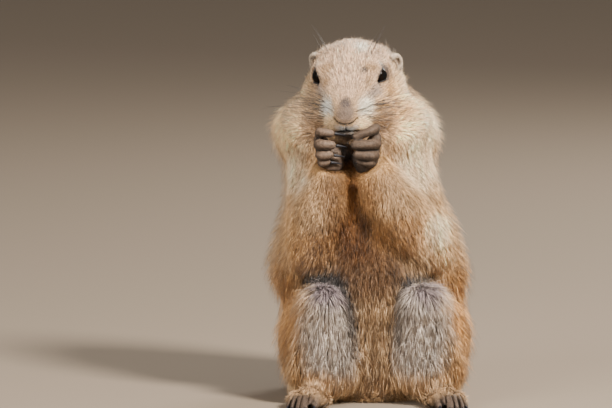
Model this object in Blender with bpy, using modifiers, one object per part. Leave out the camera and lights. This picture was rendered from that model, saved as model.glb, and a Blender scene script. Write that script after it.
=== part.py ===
"""A black-tailed prairie dog sitting up on its haunches with both forepaws at its mouth, life size.

Metres, +Z up. The animal faces -Y, so its left side is at +X. It rests on its hind feet, rump and tail.
The flesh is modelled whole out to the tips of the coat, melted into one surface, and then parted by thin
cuts into the head, neck, torso and the lengths of each limb. Eyes, ears, hands, feet, claws and tail are
made on their own and seated on what they grow from.
"""

import math
import random

import bmesh
import bpy
import numpy as np
from mathutils import Matrix, Vector
from mathutils.bvhtree import BVHTree

# Lengths in this file are written in millimetres and turned into metres by MM.
MM = 0.001
GAP = 0.3 * MM  # left between two nodes that touch
SEED = 11
SOLVER_SLACK = 0.002  # share of the volume by which two ways to cut a solid may differ

# The trunk as a stack of ovals: height, sideways centre, half width, front and back.
TRUNK = (
    (-9, 0, 26, -6, 42),
    (-4, 0, 39, -20, 54),
    (3, 0, 50, -32, 63),
    (12, 0, 57, -40, 70),
    (26, 0, 60, -45, 75),
    (45, 0, 60, -46, 77),
    (62, -1, 60, -46, 77),
    (76, -3, 63, -45, 75),
    (86, -4, 63.5, -44, 73),
    (98, -4.5, 61, -43, 70),
    (112, -5, 57, -41, 66),
    (126, -6.5, 52, -39, 61),
    (140, -9, 49.5, -37, 56),
    (150, -10, 49.5, -36, 52),
    (159, -11, 51.5, -36, 48),
    (168, -12, 54, -35, 44),
    (177, -13, 53.5, -33, 39),
    (186, -12.5, 48, -28, 34),
    (196, -11.5, 37, -22, 32),
    (206, -12, 28, -14, 27),
    (216, -13, 17, -4, 19),
)

# Soft pads of the cheeks and firm ones of the face: side, forward, up and the three radii.
CHEEK_PADS = {
    "cheek": (22.5, -12, -20, 12, 20, 15),
    "jowl": (17, 9, -21, 11, 17, 12),
}
FACE_PADS = {
    "temple": (17.5, -8, -1, 9.5, 13, 9),
    "brow": (16.6, -0.5, 5.4, 5.8, 9, 4.0),
    "orbit": (18.0, 0.5, -0.5, 6.6, 6.8, 6.4),
    "whisker_pad": (8.4, 24, -18.5, 8.2, 10, 8.2),
    "nose": (0, 33.0, -13.2, 7.6, 6.0, 7.2),
    "lip": (0, 30, -22, 8, 6.5, 5.5),
    "chin": (0, 19, -28, 9, 12, 5),
}

# The head in its own frame: the middle of the eye line is the origin, and forward is along the snout.
EYE_LINE = Vector((-16.2, -30, 210.8)) * MM
HEAD_PITCH = math.radians(24)
HEAD_YAW = math.radians(-7)
HEAD_ROLL = math.radians(-1.7)
# The skull and snout as ovals from nape to nose: forward, half width, top and bottom.
SKULL = (
    (-50, 9, -18, -30),
    (-46, 16, -8.5, -32),
    (-41, 21, -0.5, -33),
    (-35, 24.5, 6.5, -33),
    (-27, 26.5, 12.3, -34),
    (-16, 27.5, 15.8, -35),
    (-6, 26.5, 15.5, -35),
    (4, 24, 13.2, -34),
    (13, 21, 9.5, -33),
    (21, 16.5, 5.0, -31),
    (28, 11.5, 0.0, -28),
    (33.5, 8.5, -5.0, -25),
    (36.5, 5.5, -9, -20),
)
EYE_RADIUS = 5.9 * MM
EYE_OUT, EYE_FORWARD, EYE_RISE = 18.2 * MM, 0.5 * MM, 0.0
EAR_HEIGHT, EAR_WIDTH = 12.0 * MM, 10.5 * MM

# Joints of the limbs, the animal's left side first, and the radius of the flesh and fur there.
SHOULDER = {"left": Vector((18, -14, 156)) * MM, "right": Vector((-37, -14, 154)) * MM}
ELBOW = {"left": Vector((33, -28, 101)) * MM, "right": Vector((-41, -28, 101)) * MM}
WRIST = {"left": Vector((-4.5, -48, 155)) * MM, "right": Vector((-28.5, -48, 155)) * MM}
HIP = {"left": Vector((37, 14, 42)) * MM, "right": Vector((-37, 14, 42)) * MM}
KNEE = {"left": Vector((30.5, -46, 66)) * MM, "right": Vector((-33.5, -46, 66)) * MM}
ANKLE = {"left": Vector((36, -41, 17)) * MM, "right": Vector((-34, -41, 17)) * MM}
SIDES = {"left": 1, "right": -1}

# From the frame in which the animal is modelled to the one whose origin is the middle of its base.
PLACE = Vector((2.6, -30, 0)) * MM

FINGER_COUNT, TOE_COUNT = 4, 5
FOOT_LENGTH = 52 * MM
TOE_TIP = {"left": Vector((51, -79, 0)) * MM, "right": Vector((-49, -79, 0)) * MM}
CLAW_LENGTH = {"hand": 9.8 * MM, "foot": 7.0 * MM}

TAIL_ROOT = Vector((0, 62, 13)) * MM
TAIL_LENGTH = 70 * MM
LOCK_COUNT = 34

VOXEL, FINE_VOXEL = 1.1 * MM, 0.55 * MM
FLESH_TRIANGLES, HAND_TRIANGLES, FOOT_TRIANGLES = 4400, 600, 520

COLOURS = {
    "coat": (0.50, 0.33, 0.19),
    "face": (0.55, 0.41, 0.28),
    "shin": (0.52, 0.44, 0.38),
    "paw": (0.47, 0.36, 0.27),
    "ear": (0.50, 0.36, 0.27),
    "tail": (0.40, 0.26, 0.15),
    "eye": (0.012, 0.009, 0.008),
    "claw": (0.035, 0.03, 0.03),
}


def clear_scene():
    for thing in list(bpy.data.objects):
        bpy.data.objects.remove(thing)


def collection(name):
    made = bpy.data.collections.new(name)
    bpy.context.scene.collection.children.link(made)
    return made


def material(name):
    made = bpy.data.materials.get(name)
    if made is None:
        made = bpy.data.materials.new(name)
        made.use_nodes = True
        shader = made.node_tree.nodes["Principled BSDF"]
        shader.inputs["Base Color"].default_value = (*COLOURS[name], 1)
        shader.inputs["Roughness"].default_value = 0.08 if name == "eye" else 0.35 if name == "claw" else 0.9
        shader.inputs["Metallic"].default_value = 0
    return made


def object_from(name, mesh):
    made = bpy.data.objects.new(name, mesh)
    BENCH.objects.link(made)
    return made


def object_of(name, form):
    """An object from a bmesh, which is freed."""
    bmesh.ops.recalc_face_normals(form, faces=form.faces)
    mesh = bpy.data.meshes.new(name)
    form.to_mesh(mesh)
    form.free()
    return object_from(name, mesh)


def settled(thing):
    """The object with its modifiers, or its curve, turned into plain mesh in world space."""
    bpy.context.view_layer.update()
    graph = bpy.context.evaluated_depsgraph_get()
    mesh = bpy.data.meshes.new_from_object(thing.evaluated_get(graph))
    mesh.transform(thing.matrix_world)
    name = thing.name
    bpy.data.objects.remove(thing)
    return object_from(name, mesh)


def smooth_rows(rows, steps):
    """Rows of numbers read along a Catmull-Rom curve through them, with this many steps a row."""
    rows = np.array(rows, float)
    padded = np.vstack([2 * rows[0] - rows[1], rows, 2 * rows[-1] - rows[-2]])
    read = []
    for i in range(1, len(padded) - 2):
        a, b, c, d = padded[i - 1 : i + 3]
        for t in np.arange(steps) / steps:
            turn = 2 * b + (c - a) * t + (2 * a - 5 * b + 4 * c - d) * t**2 + (3 * b - a - 3 * c + d) * t**3
            read.append(turn / 2)
    read.append(rows[-1])
    return np.array(read)


def oval(centre, across, up, half_across, half_up, sides, squareness=2.0):
    """Points of a superellipse round centre."""
    points = []
    for i in range(sides):
        turn = 2 * math.pi * i / sides
        c, s = math.cos(turn), math.sin(turn)
        x = math.copysign(abs(c) ** (2 / squareness), c) * half_across
        y = math.copysign(abs(s) ** (2 / squareness), s) * half_up
        points.append(centre + across * x + up * y)
    return points


def loft(name, rings):
    """One closed skin over rings that have the same number of points, with flat ends."""
    form = bmesh.new()
    rows = [[form.verts.new(point) for point in ring] for ring in rings]
    for low, high in zip(rows, rows[1:]):
        for i in range(len(low)):
            j = (i + 1) % len(low)
            form.faces.new((low[i], low[j], high[j], high[i]))
    form.faces.new(rows[0][::-1])
    form.faces.new(rows[-1])
    return object_of(name, form)


def ellipsoid(name, centre, radii, turn=None, rings=24):
    """A ball stretched to radii, turned by the matrix, with its middle at centre."""
    form = bmesh.new()
    place = Matrix.Translation(centre) @ (turn or Matrix.Identity(4)) @ Matrix.Diagonal((*radii, 1))
    bmesh.ops.create_uvsphere(form, u_segments=rings * 3 // 2, v_segments=rings, radius=1, matrix=place)
    return object_of(name, form)


def hull(name, balls, detail=2):
    """The convex hull of balls, each a centre and a radius."""
    form = bmesh.new()
    for centre, radius in balls:
        place = Matrix.Translation(centre)
        bmesh.ops.create_icosphere(form, subdivisions=detail, radius=radius, matrix=place)
    bmesh.ops.delete(form, geom=form.faces[:] + form.edges[:], context="EDGES_FACES")
    bmesh.ops.convex_hull(form, input=form.verts)
    loose = [vert for vert in form.verts if not vert.link_faces]
    bmesh.ops.delete(form, geom=loose, context="VERTS")
    return object_of(name, form)


def half_space(name, point, normal, reach=0.4):
    """A large cube that fills the side of a plane that its normal points to."""
    form = bmesh.new()
    turn = normal.to_track_quat("Z", "Y").to_matrix().to_4x4()
    middle = point + normal.normalized() * reach / 2
    bmesh.ops.create_cube(form, size=reach, matrix=Matrix.Translation(middle) @ turn)
    return object_of(name, form)


def limb(name, points, radii, sides=20, steps=6, flat_end=False):
    """A round tube of changing radius along a smooth line, with domed ends or a flat far end."""
    rows = smooth_rows([(*p, r) for p, r in zip(points, radii)], steps)
    line, wide = [Vector(row[:3]) for row in rows], [row[3] for row in rows]
    along = [(b - a).normalized() for a, b in zip(line, line[1:])]
    along.append(along[-1])
    across = along[0].orthogonal().normalized()
    rings = []
    domes = [math.radians(a) for a in (80, 55, 30)]
    for i, (centre, radius, ahead) in enumerate(zip(line, wide, along)):
        across = (across - ahead * across.dot(ahead)).normalized()
        up = ahead.cross(across)
        if i == 0:
            for a in domes:
                back = centre - ahead * radius * math.sin(a)
                rings.append(oval(back, across, up, radius * math.cos(a), radius * math.cos(a), sides))
        rings.append(oval(centre, across, up, radius, radius, sides))
        if i == len(line) - 1 and not flat_end:
            for a in reversed(domes):
                front = centre + ahead * radius * math.sin(a)
                rings.append(oval(front, across, up, radius * math.cos(a), radius * math.cos(a), sides))
    return loft(name, rings)


def wire(name, points, radius, closed=False, sides=2):
    """A bent round wire as a mesh."""
    line = bpy.data.curves.new(name, "CURVE")
    line.dimensions = "3D"
    line.bevel_depth = radius
    line.bevel_resolution = sides
    line.use_fill_caps = not closed
    run = line.splines.new("POLY")
    run.points.add(len(points) - 1)
    for slot, point in zip(run.points, points):
        slot.co = (*point, 1)
    run.use_cyclic_u = closed
    bent = bpy.data.objects.new(name, line)
    BENCH.objects.link(bent)
    made = settled(bent)
    form = bmesh.new()
    form.from_mesh(made.data)
    bmesh.ops.remove_doubles(form, verts=form.verts, dist=1e-6)
    bmesh.ops.recalc_face_normals(form, faces=form.faces)
    form.to_mesh(made.data)
    form.free()
    return made


def joined(name, pieces):
    """One object that holds every piece, still as separate closed skins."""
    form = bmesh.new()
    for piece in pieces:
        form.from_mesh(piece.data)
        bpy.data.objects.remove(piece)
    return object_of(name, form)


def melted(name, pieces, voxel, smoothing, triangles):
    """The pieces fused into one soft surface with about this many triangles."""
    lump = joined(name, pieces)
    remesh = lump.modifiers.new("fuse", "REMESH")
    remesh.mode = "VOXEL"
    remesh.voxel_size = voxel
    soften = lump.modifiers.new("soften", "SMOOTH")
    soften.factor = 0.5
    soften.iterations = smoothing
    lump = largest(settled(lump))
    faces = sum(len(p.vertices) - 2 for p in lump.data.polygons)
    lump.modifiers.new("triangles", "TRIANGULATE")
    thin = lump.modifiers.new("thin out", "DECIMATE")
    thin.ratio = min(1.0, triangles / faces)
    return settled(lump)


def largest(thing):
    """Only the largest closed surface of the object."""
    form = bmesh.new()
    form.from_mesh(thing.data)
    left, islands = set(form.faces), []
    while left:
        stack = [left.pop()]
        island = set(stack)
        while stack:
            for edge in stack.pop().edges:
                for face in edge.link_faces:
                    if face in left:
                        left.remove(face)
                        island.add(face)
                        stack.append(face)
        islands.append(island)

    def area(faces):
        return sum(face.calc_area() for face in faces)

    keep = max(islands, key=area, default=set())
    bmesh.ops.delete(form, geom=[f for f in form.faces if f not in keep], context="FACES")
    form.to_mesh(thing.data)
    form.free()
    return thing


def volume(thing):
    """The volume inside the object, or nothing where its surface isn't closed."""
    form = bmesh.new()
    form.from_mesh(thing.data)
    whole = bool(form.faces) and all(len(edge.link_faces) == 2 for edge in form.edges)
    found = form.calc_volume(signed=True) if whole else 0.0
    form.free()
    return found


def combined(thing, tool, how, solver):
    """A copy of the object joined with, cut by or cut down to the tool."""
    made = copy_of(thing, thing.name)
    step = made.modifiers.new(how.lower(), "BOOLEAN")
    step.operation = how
    step.solver = solver
    step.object = tool
    return largest(settled(made))


def carved(thing, tools, how, keep_tools=False):
    """The object combined with each tool in turn, by the second solver where the first one's volume is wrong."""
    for tool in tools:
        made = combined(thing, tool, how, "EXACT")
        proof = combined(thing, tool, how, "MANIFOLD")
        if abs(volume(made) - volume(proof)) > SOLVER_SLACK * volume(proof):
            made, proof = proof, made
        bpy.data.objects.remove(proof)
        bpy.data.objects.remove(thing)
        thing = made
        if not keep_tools:
            bpy.data.objects.remove(tool)
    return thing


def copy_of(thing, name):
    return object_from(name, thing.data.copy())


def grown(thing, name, by=GAP):
    """A copy whose surface lies outside the object's by this much."""
    shell = copy_of(thing, name)
    form = bmesh.new()
    form.from_mesh(shell.data)
    form.normal_update()
    moves = [(v, v.co + v.normal * by * v.calc_shell_factor()) for v in form.verts]
    for vert, place in moves:
        vert.co = place
    form.to_mesh(shell.data)
    form.free()
    return shell


def parted(rest, name, region):
    """(what is left, what was parted off) by a region, which is made again a gap larger."""
    piece = carved(copy_of(rest, name), [region(0)], "INTERSECT")
    rest = carved(rest, [region(GAP)], "DIFFERENCE")
    return rest, piece


def finished(thing, name, colour):
    """Puts the object among the model's nodes under its name and with its material."""
    thing.name = name
    BENCH.objects.unlink(thing)
    MODEL.objects.link(thing)
    thing.data.materials.clear()
    thing.data.materials.append(material(colour))
    thing.data.shade_smooth()
    thing.data.set_sharp_from_angle(angle=math.radians(60))
    return thing


# The head's frame

HEAD = (
    Matrix.Translation(EYE_LINE)
    @ Matrix.Rotation(HEAD_YAW, 4, "Z")
    @ Matrix.Rotation(HEAD_PITCH, 4, "X")
    @ Matrix.Rotation(HEAD_ROLL, 4, "Y")
)


def in_head(side, forward, up):
    """A point of the head, in millimetres to the animal's left, forward of the eyes and above them."""
    return HEAD @ (Vector((side, -forward, up)) * MM)


def head_turn():
    return HEAD.to_3x3().to_4x4()


# The flesh, whole


def trunk():
    rings = []
    across, depth = Vector((1, 0, 0)), Vector((0, 1, 0))
    for height, middle, half, front, back in smooth_rows(TRUNK, 3) * MM:
        centre = Vector((middle, (front + back) / 2, height))
        rings.append(oval(centre, across, depth, half, (back - front) / 2, 40, 2.15))
    return loft("trunk", rings)


def skull():
    turn = HEAD.to_3x3()
    rings = []
    for forward, half, top, bottom in smooth_rows(SKULL, 3):
        centre = in_head(0, forward, (top + bottom) / 2)
        rings.append(
            oval(centre, turn.col[0], turn.col[2], half * MM, (top - bottom) / 2 * MM, 32, 2.05)
        )
    return loft("skull", rings)


def head_pads(pads):
    """A pad on each side of the head, from its place and radii in the head's frame."""
    made = []
    for name, (side, forward, up, wide, long, tall) in pads.items():
        for sign in SIDES.values() if side else (1,):
            radii = Vector((wide, long, tall)) * MM
            made.append(ellipsoid(name, in_head(sign * side, forward, up), radii, head_turn()))
    return made


def neck_pads():
    """The ruff of the cheeks on each side, and the throat between them."""
    return [
        ellipsoid("ruff", Vector((-39, -11, 173.5)) * MM, Vector((25, 32, 23.5)) * MM),
        ellipsoid("ruff", Vector((13.5, -9, 174)) * MM, Vector((26, 31, 24)) * MM),
        ellipsoid("throat", Vector((-14, -22, 168)) * MM, Vector((34, 22, 21)) * MM),
    ]


def arm(side):
    upper = limb("upper_arm", [SHOULDER[side], ELBOW[side]], [20 * MM, 18 * MM])
    middle = (ELBOW[side] + WRIST[side]) / 2 + Vector((0, 1, -2)) * MM
    radii = {"left": (18, 20.5, 12.5), "right": (17.5, 18.5, 12)}[side]
    ahead = (WRIST[side] - ELBOW[side]).normalized()
    end = WRIST[side] + ahead * 2.5 * MM
    lower = limb("forearm", [ELBOW[side], middle, end], [r * MM for r in radii], flat_end=True)
    return [upper, lower]


def leg(side):
    sign = SIDES[side]
    haunch = ellipsoid("haunch", Vector((sign * 35, 0, 38)) * MM, Vector((27, 46, 42)) * MM)
    knee = limb("thigh", [HIP[side], KNEE[side]], [26 * MM, 15.5 * MM])
    inner = ANKLE[side] + Vector((-sign * 13, 3, 4)) * MM
    outer = ANKLE[side] + Vector((sign * 8, 4, 6)) * MM
    shin = hull("shin", [(KNEE[side], 14.5 * MM), (ANKLE[side], 15 * MM), (inner, 14 * MM), (outer, 15 * MM)], 3)
    return [haunch, knee, shin]


def whole_flesh():
    pieces = [trunk(), skull(), *neck_pads(), *head_pads(CHEEK_PADS)]
    pieces.append(ellipsoid("rump", Vector((0, 38, 26)) * MM, Vector((44, 38, 34)) * MM))
    for side in SIDES:
        pieces += arm(side) + leg(side)
    body = melted("body", pieces, VOXEL, 26, 4 * FLESH_TRIANGLES)
    lump = melted("flesh", [body, skull(), *head_pads(FACE_PADS)], VOXEL, 8, FLESH_TRIANGLES)
    return carved(lump, [half_space("floor", Vector((0, 0, 0)), Vector((0, 0, -1)))], "DIFFERENCE")


# Cuts that part the flesh


def head_region(extra):
    """The side of a plane, from the nape down to the throat, that the face is on."""
    slope = Vector((0, -0.575, 0.819))
    return half_space("head_region", Vector((0, 12, 205)) * MM - slope * extra, slope)


def neck_region(extra):
    slope = Vector((0, 0.32, 0.95)).normalized()
    return half_space("neck_region", Vector((0, 0, 161 * MM)) - slope * extra, slope)


def arm_region(side):
    out = Vector((SIDES[side] * 5, -4, 0)) * MM

    def region(extra):
        return hull(
            "arm_region",
            [
                (SHOULDER[side] + out, 20 * MM + extra),
                (ELBOW[side] + out, 23 * MM + extra),
                (WRIST[side] + Vector((0, -6, 4)) * MM, 17 * MM + extra),
            ],
        )

    return region


def forearm_region(side):
    """The side of the plane through the elbow that the forearm lies on."""
    down = (ELBOW[side] - SHOULDER[side]).normalized()
    up = (WRIST[side] - ELBOW[side]).normalized()
    normal = (up + down).normalized()

    def region(extra):
        return half_space("forearm_region", ELBOW[side] + Vector((0, -2, 0)) * MM - normal * extra, normal)

    return region


def wrist_region(side):
    ahead = (WRIST[side] - ELBOW[side]).normalized()

    def region(extra):
        return half_space("wrist_region", WRIST[side] - ahead * extra, ahead, 0.03)

    return region


def leg_region(side):
    sign = SIDES[side]

    def region(extra):
        return hull(
            "leg_region",
            [
                (Vector((sign * 42, 12, 40)) * MM, 40 * MM + extra),
                (Vector((sign * 36, -40, 55)) * MM, 34 * MM + extra),
                (Vector((sign * 38, -34, 14)) * MM, 32 * MM + extra),
            ],
        )

    return region


def shin_region(side):
    """The side of a leaning plane below and in front of the knee."""
    normal = Vector((0, -0.97, -0.25)).normalized()

    def region(extra):
        return half_space("shin_region", KNEE[side] + Vector((0, 12, 0)) * MM - normal * extra, normal)

    return region


# The face


def eye_centre(sign):
    return HEAD @ Vector((sign * EYE_OUT, -EYE_FORWARD, EYE_RISE))


def eye_axes(sign):
    """Where the eye looks, along its slit towards the nose, and across the slit."""
    turn = HEAD.to_3x3()
    gaze = (turn @ Vector((sign * 0.86, -0.42, 0.20))).normalized()
    along = turn @ Vector((0, -1, -0.42))
    along = (along - gaze * along.dot(gaze)).normalized()
    across = gaze.cross(along) * sign
    if across.dot(turn.col[2]) < 0:
        across = -across
    return gaze, along, across


def eye_slit(sign, radius, count=16):
    """The line of the lid margins on a ball of this radius round the eye."""
    gaze, along, across = eye_axes(sign)
    points = []
    for i in range(count):
        turn = 2 * math.pi * i / count
        c, s = math.cos(turn), math.sin(turn)
        corner = math.radians(60) + math.radians(7) * max(0, c) ** 6
        lid = math.radians(36 if s > 0 else 48)
        open_angle = corner * abs(c) ** 1.5 + lid * (1 - abs(c) ** 1.5)
        aside = (along * c + across * s).normalized()
        points.append(eye_centre(sign) + (gaze * math.cos(open_angle) + aside * math.sin(open_angle)) * radius)
    return points


def eye_opening(sign):
    """A cone from the eye's middle out through the slit."""
    rim = eye_slit(sign, EYE_RADIUS * 2.2)
    form = bmesh.new()
    middle = form.verts.new(eye_centre(sign))
    gaze = eye_axes(sign)[0]
    top = form.verts.new(eye_centre(sign) + gaze * EYE_RADIUS * 2.6)
    ring = [form.verts.new(p) for p in rim]
    for a, b in zip(ring, ring[1:] + ring[:1]):
        form.faces.new((middle, a, b))
        form.faces.new((top, b, a))
    return object_of("eye_opening", form)


def on_surface(tree, points, depth):
    """Points moved to this depth under the surface."""
    moved = []
    for point in points:
        place, normal, _, _ = tree.find_nearest(point)
        moved.append(place - normal * depth)
    return moved


def face_grooves(head):
    """Nostrils, the cleft under the nose and the line of the mouth, as thin wires sunk in the surface."""
    tree = BVHTree.FromObject(head, bpy.context.evaluated_depsgraph_get())
    lines = []
    for sign in SIDES.values():
        nostril = [(sign * s, f, u) for s, f, u in ((0.4, 38.4, -14.7), (2.2, 37.7, -14.5), (4.6, 35.8, -14.0), (7.7, 33, -12.6))]
        lines.append((nostril, 0.62))
    lines.append((((0, 38.4, -15.6), (0, 38, -17.3), (0, 37.4, -19.8)), 0.5))
    mouth = [(s, 37 - abs(s) ** 1.7 * 0.23, -21 - abs(s) * 0.16) for s in (-12, -10, -8, -5.5, -2.5, 0, 2.5, 5.5, 8, 10, 12)]
    lines.append((mouth, 0.55))
    made = []
    for points, radius in lines:
        path = smooth_rows([tuple(in_head(*p)) for p in points], 2)
        made.append(wire("groove", on_surface(tree, [Vector(p) for p in path], 0.15 * MM), radius * MM, sides=0))
    return made


def head_with_face(head):
    lids = []
    for sign in SIDES.values():
        head = carved(head, [eye_opening(sign)], "DIFFERENCE")
        lids.append(wire("lid", eye_slit(sign, EYE_RADIUS + 0.75 * MM), 0.95 * MM, closed=True, sides=0))
    head = carved(head, lids, "UNION")
    sockets = [ellipsoid("socket", eye_centre(s), [EYE_RADIUS + GAP] * 3, rings=10) for s in SIDES.values()]
    head = carved(head, sockets, "DIFFERENCE")
    return carved(head, face_grooves(head), "DIFFERENCE")


def ear(side, head_shell):
    """A low rounded cup with an open front, its foot cut to the side of the head."""
    sign = SIDES[side]
    turn = head_turn() @ Matrix.Rotation(sign * math.radians(48), 4, "Z") @ Matrix.Rotation(math.radians(-10), 4, "X")
    middle = in_head(*{"left": (26.8, -20.5, -3.5), "right": (-24.6, -24, -3.5)}[side])
    high, wide = EAR_HEIGHT / 2, EAR_WIDTH / 2
    cup = ellipsoid("ear", middle, (wide, 2.8 * MM, high), turn, 9)
    ahead = (turn.to_3x3() @ Vector((0, -1, 0.0))).normalized()
    hollow = ellipsoid("hollow", middle + ahead * 2.2 * MM, (wide - 1.2 * MM, 2.8 * MM, high - 1.3 * MM), turn, 8)
    cup = carved(cup, [hollow], "DIFFERENCE")
    return carved(cup, [head_shell], "DIFFERENCE", keep_tools=True)


# Hands, feet and claws


def claw(name, root, ahead, down, length, base, curl):
    """A curved tapering claw, taller than it is wide."""
    across = ahead.cross(down).normalized()
    rings = []
    for t in (0, 0.4, 0.72, 0.96):
        bend = t * curl
        centre = root + (ahead * math.sin(bend) + down * (1 - math.cos(bend))) * length / curl
        heading = ahead * math.cos(bend) + down * math.sin(bend)
        up = across.cross(heading)
        width = base * (1 - t) ** 0.8 + 0.12 * MM
        rings.append(oval(centre, across, up, width * 0.85, width, 6))
    return loft(name, rings)


def finger_places(side):
    """Each finger as (knuckle, bend, tip, claw heading), from the top of the stack down."""
    sign = SIDES[side]
    outer, reach = {"left": (0.5, -13.0), "right": (-36.0, -28.0)}[side]
    aim = {"left": Vector((-0.5, 0.75, -0.1)), "right": Vector((1, -0.04, -0.03))}[side].normalized()
    places = []
    for i in range(FINGER_COUNT):
        high = (177.0, 169.3, 162.3, 157.3)[i]
        tuck = (1.5, 0.0, 0.8, 3.2)[i]
        slant = ((3.0, 0.4, -0.4, -0.6) if side == "left" else (0.6, 0.3, -0.4, -0.6))[i]
        knuckle = Vector((outer - sign * (0.6, 0.0, 1.0, 3.6)[i], -56.5 + tuck * 0.4, high - slant)) * MM
        bend = Vector(((outer + reach) / 2 + sign * 2.5, -62.6 + tuck, high + slant * 0.2)) * MM
        tip = Vector((reach + sign * (0.6, 0.0, 1.2, 3.0)[i], -62.2 + tuck, high - slant)) * MM
        if side == "left":
            knuckle.z, tip.z = (high + slant * 0.7) * MM, (high - slant * 0.9) * MM
        places.append((knuckle, bend, tip, aim))
    return places


def hand(side):
    """The palm with four curled fingers; returns the hand and the root and heading of each claw."""
    wrist = WRIST[side]
    back = (WRIST[side] - ELBOW[side]).normalized()
    pieces, claws = [], []
    palm_top = sum((p[0] for p in finger_places(side)[:3]), Vector()) / 3
    palm_low = finger_places(side)[3][0]
    pieces.append(limb("palm", [wrist - back * 6 * MM, wrist + back * 5 * MM], [9.0 * MM, 7.6 * MM]))
    pieces.append(
        hull("palm", [(wrist + back * 4 * MM, 6.6 * MM), (palm_top + Vector((0, 1.5, 3)) * MM, 3.8 * MM), (palm_low + Vector((0, 1, 0)) * MM, 4.4 * MM)], 3)
    )
    for i, (knuckle, bend, tip, aim) in enumerate(finger_places(side)):
        thick = (3.0, 3.3, 3.1, 2.7)[i] * MM
        pieces.append(limb("finger", [knuckle, bend, tip], [thick * 1.12, thick, thick * 0.88], 12, 4))
        claws.append((tip + aim * 1.0 * MM, aim))
    made = melted("hand_" + side, pieces, FINE_VOXEL, 2, HAND_TRIANGLES)
    return made, claws


def toe_places(side):
    """Each toe as (root, knuckle, tip, heading), from the inner toe outwards."""
    sign = SIDES[side]
    heel = Vector((ANKLE[side].x, TOE_TIP[side].y + FOOT_LENGTH, 0))
    ahead = (TOE_TIP[side] - heel).normalized()
    out = Vector((-ahead.y, ahead.x, 0)) * sign
    if out.x * sign < 0:
        out = -out
    places = []
    for i in range(TOE_COUNT):
        spread = (i - 2) * 3.9 * MM
        short = (10.5, 2.6, 0.0, 1.2, 6.8)[i] * MM
        fan = (ahead + out * (i - 2) * 0.055).normalized()
        end = TOE_TIP[side] + out * spread - ahead * short
        root = end - fan * 19 * MM + Vector((0, 0, 5.4)) * MM
        knuckle = end - fan * 8.5 * MM + Vector((0, 0, 7.4)) * MM
        tip = end + Vector((0, 0, 3.1)) * MM
        places.append((root, knuckle, tip, fan))
    return heel, ahead, places


def foot(side):
    heel, ahead, places = toe_places(side)
    ball = heel + ahead * 30 * MM
    pieces = [
        hull("sole", [(heel + Vector((0, 0, 7)) * MM, 8 * MM), (ball + Vector((0, 0, 5.6)) * MM, 7.4 * MM)], 3),
        ellipsoid("ball", ball + Vector((0, 0, 4.5)) * MM, Vector((12, 12, 6)) * MM),
    ]
    claws = []
    for root, knuckle, tip, fan in places:
        pieces.append(limb("toe", [root, knuckle, tip], [3.2 * MM, 3.0 * MM, 2.5 * MM], 12, 4))
        claws.append((tip + fan * 1.2 * MM + Vector((0, 0, 0.4)) * MM, fan))
    made = melted("foot_" + side, pieces, FINE_VOXEL, 2, FOOT_TRIANGLES)
    made = carved(made, [half_space("floor", Vector((0, 0, 0)), Vector((0, 0, -1)))], "DIFFERENCE")
    return made, claws


def claws_on(part, name, roots, down, length, base, curl):
    """A claw at each root, cut back to the surface of the digit that it grows from."""
    shell = grown(part, "shell")
    for i, (root, ahead) in enumerate(roots):
        drop = (down - ahead * down.dot(ahead)).normalized()
        one = claw("claw", root - ahead * 2.2 * MM, ahead, drop, length + 2.2 * MM, base, curl)
        one = carved(one, [shell], "DIFFERENCE", keep_tools=True)
        finished(one, f"{name}_{i + 1}", "claw")
    bpy.data.objects.remove(shell)


# The tail


def tail_line(t):
    """The middle of the tail at a share t of its length: it drops to the floor and bends a little aside."""
    side = -10 * math.sin(t * math.pi * 0.55) * MM
    return Vector((side, TAIL_ROOT.y + TAIL_LENGTH * t * 0.97, (13 - 8.6 * min(1, t * 1.5)) * MM))


def lock(root, heading, out, length, width):
    """A flat tapered lock that leaves its root along out and bends over towards heading."""
    across = heading.cross(out).normalized()
    rings = []
    for t, wide in ((0, 0.7), (0.35, 1.0), (0.72, 0.66), (1.0, 0.1)):
        centre = root + heading * length * t + out * length * 0.16 * math.sin(t * 2.2)
        rings.append(oval(centre, across, out, width * wide, max(0.25 * MM, width * 0.3 * wide), 4))
    return loft("lock", rings)


def tail():
    """A round core with rows of locks that bend back along it and make the brush at its end."""
    stations = [i / 6 for i in range(7)]
    core = limb("tail", [tail_line(t) for t in stations], [r * MM for r in (10, 8.6, 7.2, 6.0, 4.8, 3.6, 1.8)], 14, 2)
    draw = random.Random(SEED)
    locks = []
    for i in range(LOCK_COUNT):
        t = 0.14 + 0.76 * (i / (LOCK_COUNT - 1))
        ahead = (tail_line(t + 0.02) - tail_line(t)).normalized()
        turn = i * math.radians(137.5)
        side = Vector((ahead.y, -ahead.x, 0)).normalized()
        out = (side * math.cos(turn) + Vector((0, 0, 1)) * abs(math.sin(turn)) * 0.9).normalized()
        core_radius = np.interp(t, stations, (10, 8.6, 7.2, 6.0, 4.8, 3.6, 1.8)) * MM
        root = tail_line(t) + out * core_radius * 0.45
        lean = 0.30 * (1 - 0.5 * t)
        heading = (ahead + out * lean * draw.uniform(0.8, 1.2)).normalized()
        length = (21 + 6 * draw.random()) * MM
        locks.append(lock(root, heading, out, length, draw.uniform(2.3, 3.0) * MM))
    made = carved(core, locks, "UNION")
    floor = half_space("floor", Vector((0, 0, 0.0)), Vector((0, 0, -1)))
    return carved(made, [floor], "DIFFERENCE")


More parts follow.
